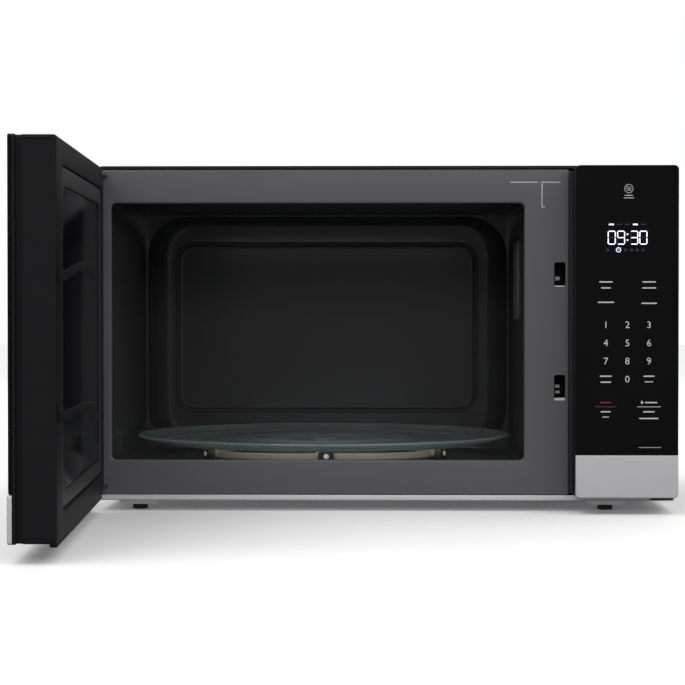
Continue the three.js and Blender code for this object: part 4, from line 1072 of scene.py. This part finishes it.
def make_hooks():
    points = [(-7, 239), (9, 239), (20, 247.5), (28.5, 247.5), (31, 239), (34.5, 239), (36, 243), (36, 252),
              (34, 255.5), (23, 255.5), (9, 248), (-7, 248)]
    hooks = []
    for drop in (0, HOOK_DROP):
        hooks.append(soften(prism([(v, z - drop) for v, z in points], *HOOK_U, "x"), 0.5, 3))
    bar = soften(prism(rounded_rectangle((-14, -6), (112, 270), 1, 2), *HOOK_U, "x"), 0.4, 2)
    link("latch_hook_lever", merged(bar, *hooks), "black_plastic", "latch_lever", body="latch")


# ---- turntable ----
TRAY_CENTRE = tuple((OVEN.inverted() @ Vector(JOINTS["turntable_spin"]["pos_m"]))[:2])
TRAY_BASE = oven_box("glass_tray")[2][0]
RING_FIRST_SIDE = -87.0
INNER_ROLLERS, OUTER_ROLLERS = 124.0, 150.0
ROLLERS = [
    (math.radians(RING_FIRST_SIDE + 60 * i), OUTER_ROLLERS if i % 2 else INNER_ROLLERS) for i in range(6)
]


def make_tray():
    profile = [(0, 0), (60, 0), (186, 0), (188, 0.15), (192, 1.1), (200, 3.3), (208, 5.6), (211.6, 7.0),
               (212.8, 8.0), (213, 8.9), (212.6, 9.6), (211.6, 9.9), (210.2, 9.7), (206, 8.6), (198, 6.4),
               (191, 4.6), (187, 4.05), (184, 4.0), (176, 4.0), (174.8, 4.5), (173.4, 4.5), (172.2, 4.0),
               (66, 4.0), (64.6, 4.5), (63.2, 4.5), (62, 4.0), (0, 4.0)]
    tray = revolve([(radius, TRAY_BASE + height) for radius, height in profile], TRAY_CENTRE, 160)
    disc = link("turntable_glass", tray, "tray_glass", "glass_tray", body="turntable", smooth=50)
    # clear glass lets the light through to the ring and the floor
    disc.visible_shadow = False


def ring_radius(angle):
    wave = 12.0
    return INNER_ROLLERS - wave * math.cos(3 * (angle - math.radians(RING_FIRST_SIDE)))


def radial(angle, at, z):
    """A matrix whose Z axis points outwards along that bearing, at that radius."""
    return (
        Matrix.Translation((*TRAY_CENTRE, z))
        @ Matrix.Rotation(angle, 4, "Z")
        @ Matrix.Translation((at, 0, 0))
        @ Matrix.Rotation(math.pi / 2, 4, "Y")
    )


def make_ring():
    low, high, half, steps = 46.5, 53.8, 3.5, 144
    section = rounded_rectangle((-half, half), (low, high), 1.2, 3)
    loops = []
    for i in range(steps):
        angle = 2 * math.pi * i / steps
        loop = []
        for across, up in section:
            reach = ring_radius(angle) + across
            x = TRAY_CENTRE[0] + reach * math.cos(angle)
            loop.append(Vector((x, TRAY_CENTRE[1] + reach * math.sin(angle), up)))
        loops.append(loop)
    parts = [loft(loops, closed=True)]
    caps = []
    middle = sum(oven_box("ring_roller_1")[2]) / 2
    for angle, at in ROLLERS:
        inner = ring_radius(angle)
        axle_end, wheel_face = at + 4.0 - inner, at - 4.3 - inner
        axle_profile = [(0, 0), (2.3, 0), (2.3, axle_end + 1.0), (1.8, axle_end + 1.5), (0, axle_end + 1.6)]
        flare_profile = [(0, 0), (3.4, 0), (3.6, 1.5), (6.4, wheel_face - 0.3), (6.6, wheel_face),
                         (0, wheel_face)]
        cap_profile = [(0, 0), (2.9, 0), (2.9, 0.5), (2.2, 1.1), (0, 1.3)]
        axle, cap = revolve(axle_profile, steps=20), revolve(cap_profile, steps=20)
        flare = revolve(flare_profile, steps=28)
        axle.transform(radial(angle, inner, middle))
        flare.transform(radial(angle, inner, middle))
        cap.transform(radial(angle, at + 4.35, middle))
        parts += [axle, flare]
        caps.append(cap)
    link("ring_moulding", merged(*parts), "ring_plastic", "roller_ring", body="roller_ring")
    link(
        "ring_axle_caps", merged(*caps), "ring_plastic", body="roller_ring", look=MATERIALS["white_plastic"],
    )


def make_wheels():
    profile = [(2.6, -4), (5.2, -4), (5.6, -3.2), (7.0, -3.2), (7.5, -4), (8.4, -3.9), (8.85, -3.2),
               (8.85, 3.2), (8.4, 3.9), (7.5, 4), (7.0, 3.2), (5.6, 3.2), (5.2, 4), (2.6, 4)]
    middle, steps = sum(oven_box("ring_roller_1")[2]) / 2, 48
    for i, (angle, at) in enumerate(ROLLERS, 1):
        loops = []
        for j in range(steps):
            turn = 2 * math.pi * j / steps
            loops.append([Vector((r * math.cos(turn), r * math.sin(turn), h)) for r, h in profile])
        wheel = loft(loops, closed=True)
        wheel.transform(radial(angle, at, middle))
        link(f"ring_wheel_{i}", wheel, "roller_plastic", f"ring_roller_{i}", body=f"roller_{i}")


# ---- CAD nodes: their slot's material, and a darker steel for the hinge brackets ----
def dress_cad_nodes():
    slots = {row["node"]: row["material_slot"] for row in frame["record"]["subparts"]}
    for node, holder in NODES.items():
        holder.data.materials.clear()
        holder.data.materials.append(MATERIALS["hinge_steel" if "hinge_bracket" in node else slots[node]])


make_camera()
make_floor()
make_lights()
make_studio()
dress_cad_nodes()
make_front_frame()
make_frame_crease_highlight()
make_cavity()
make_wall_details()
make_floor_track()
make_waveguide_cover()
make_casing()
make_rear()
make_pan()
make_panel()
make_display()
make_key_marks()
make_door_front()
make_door_inside()
make_hooks()
make_tray()
make_ring()
make_wheels()
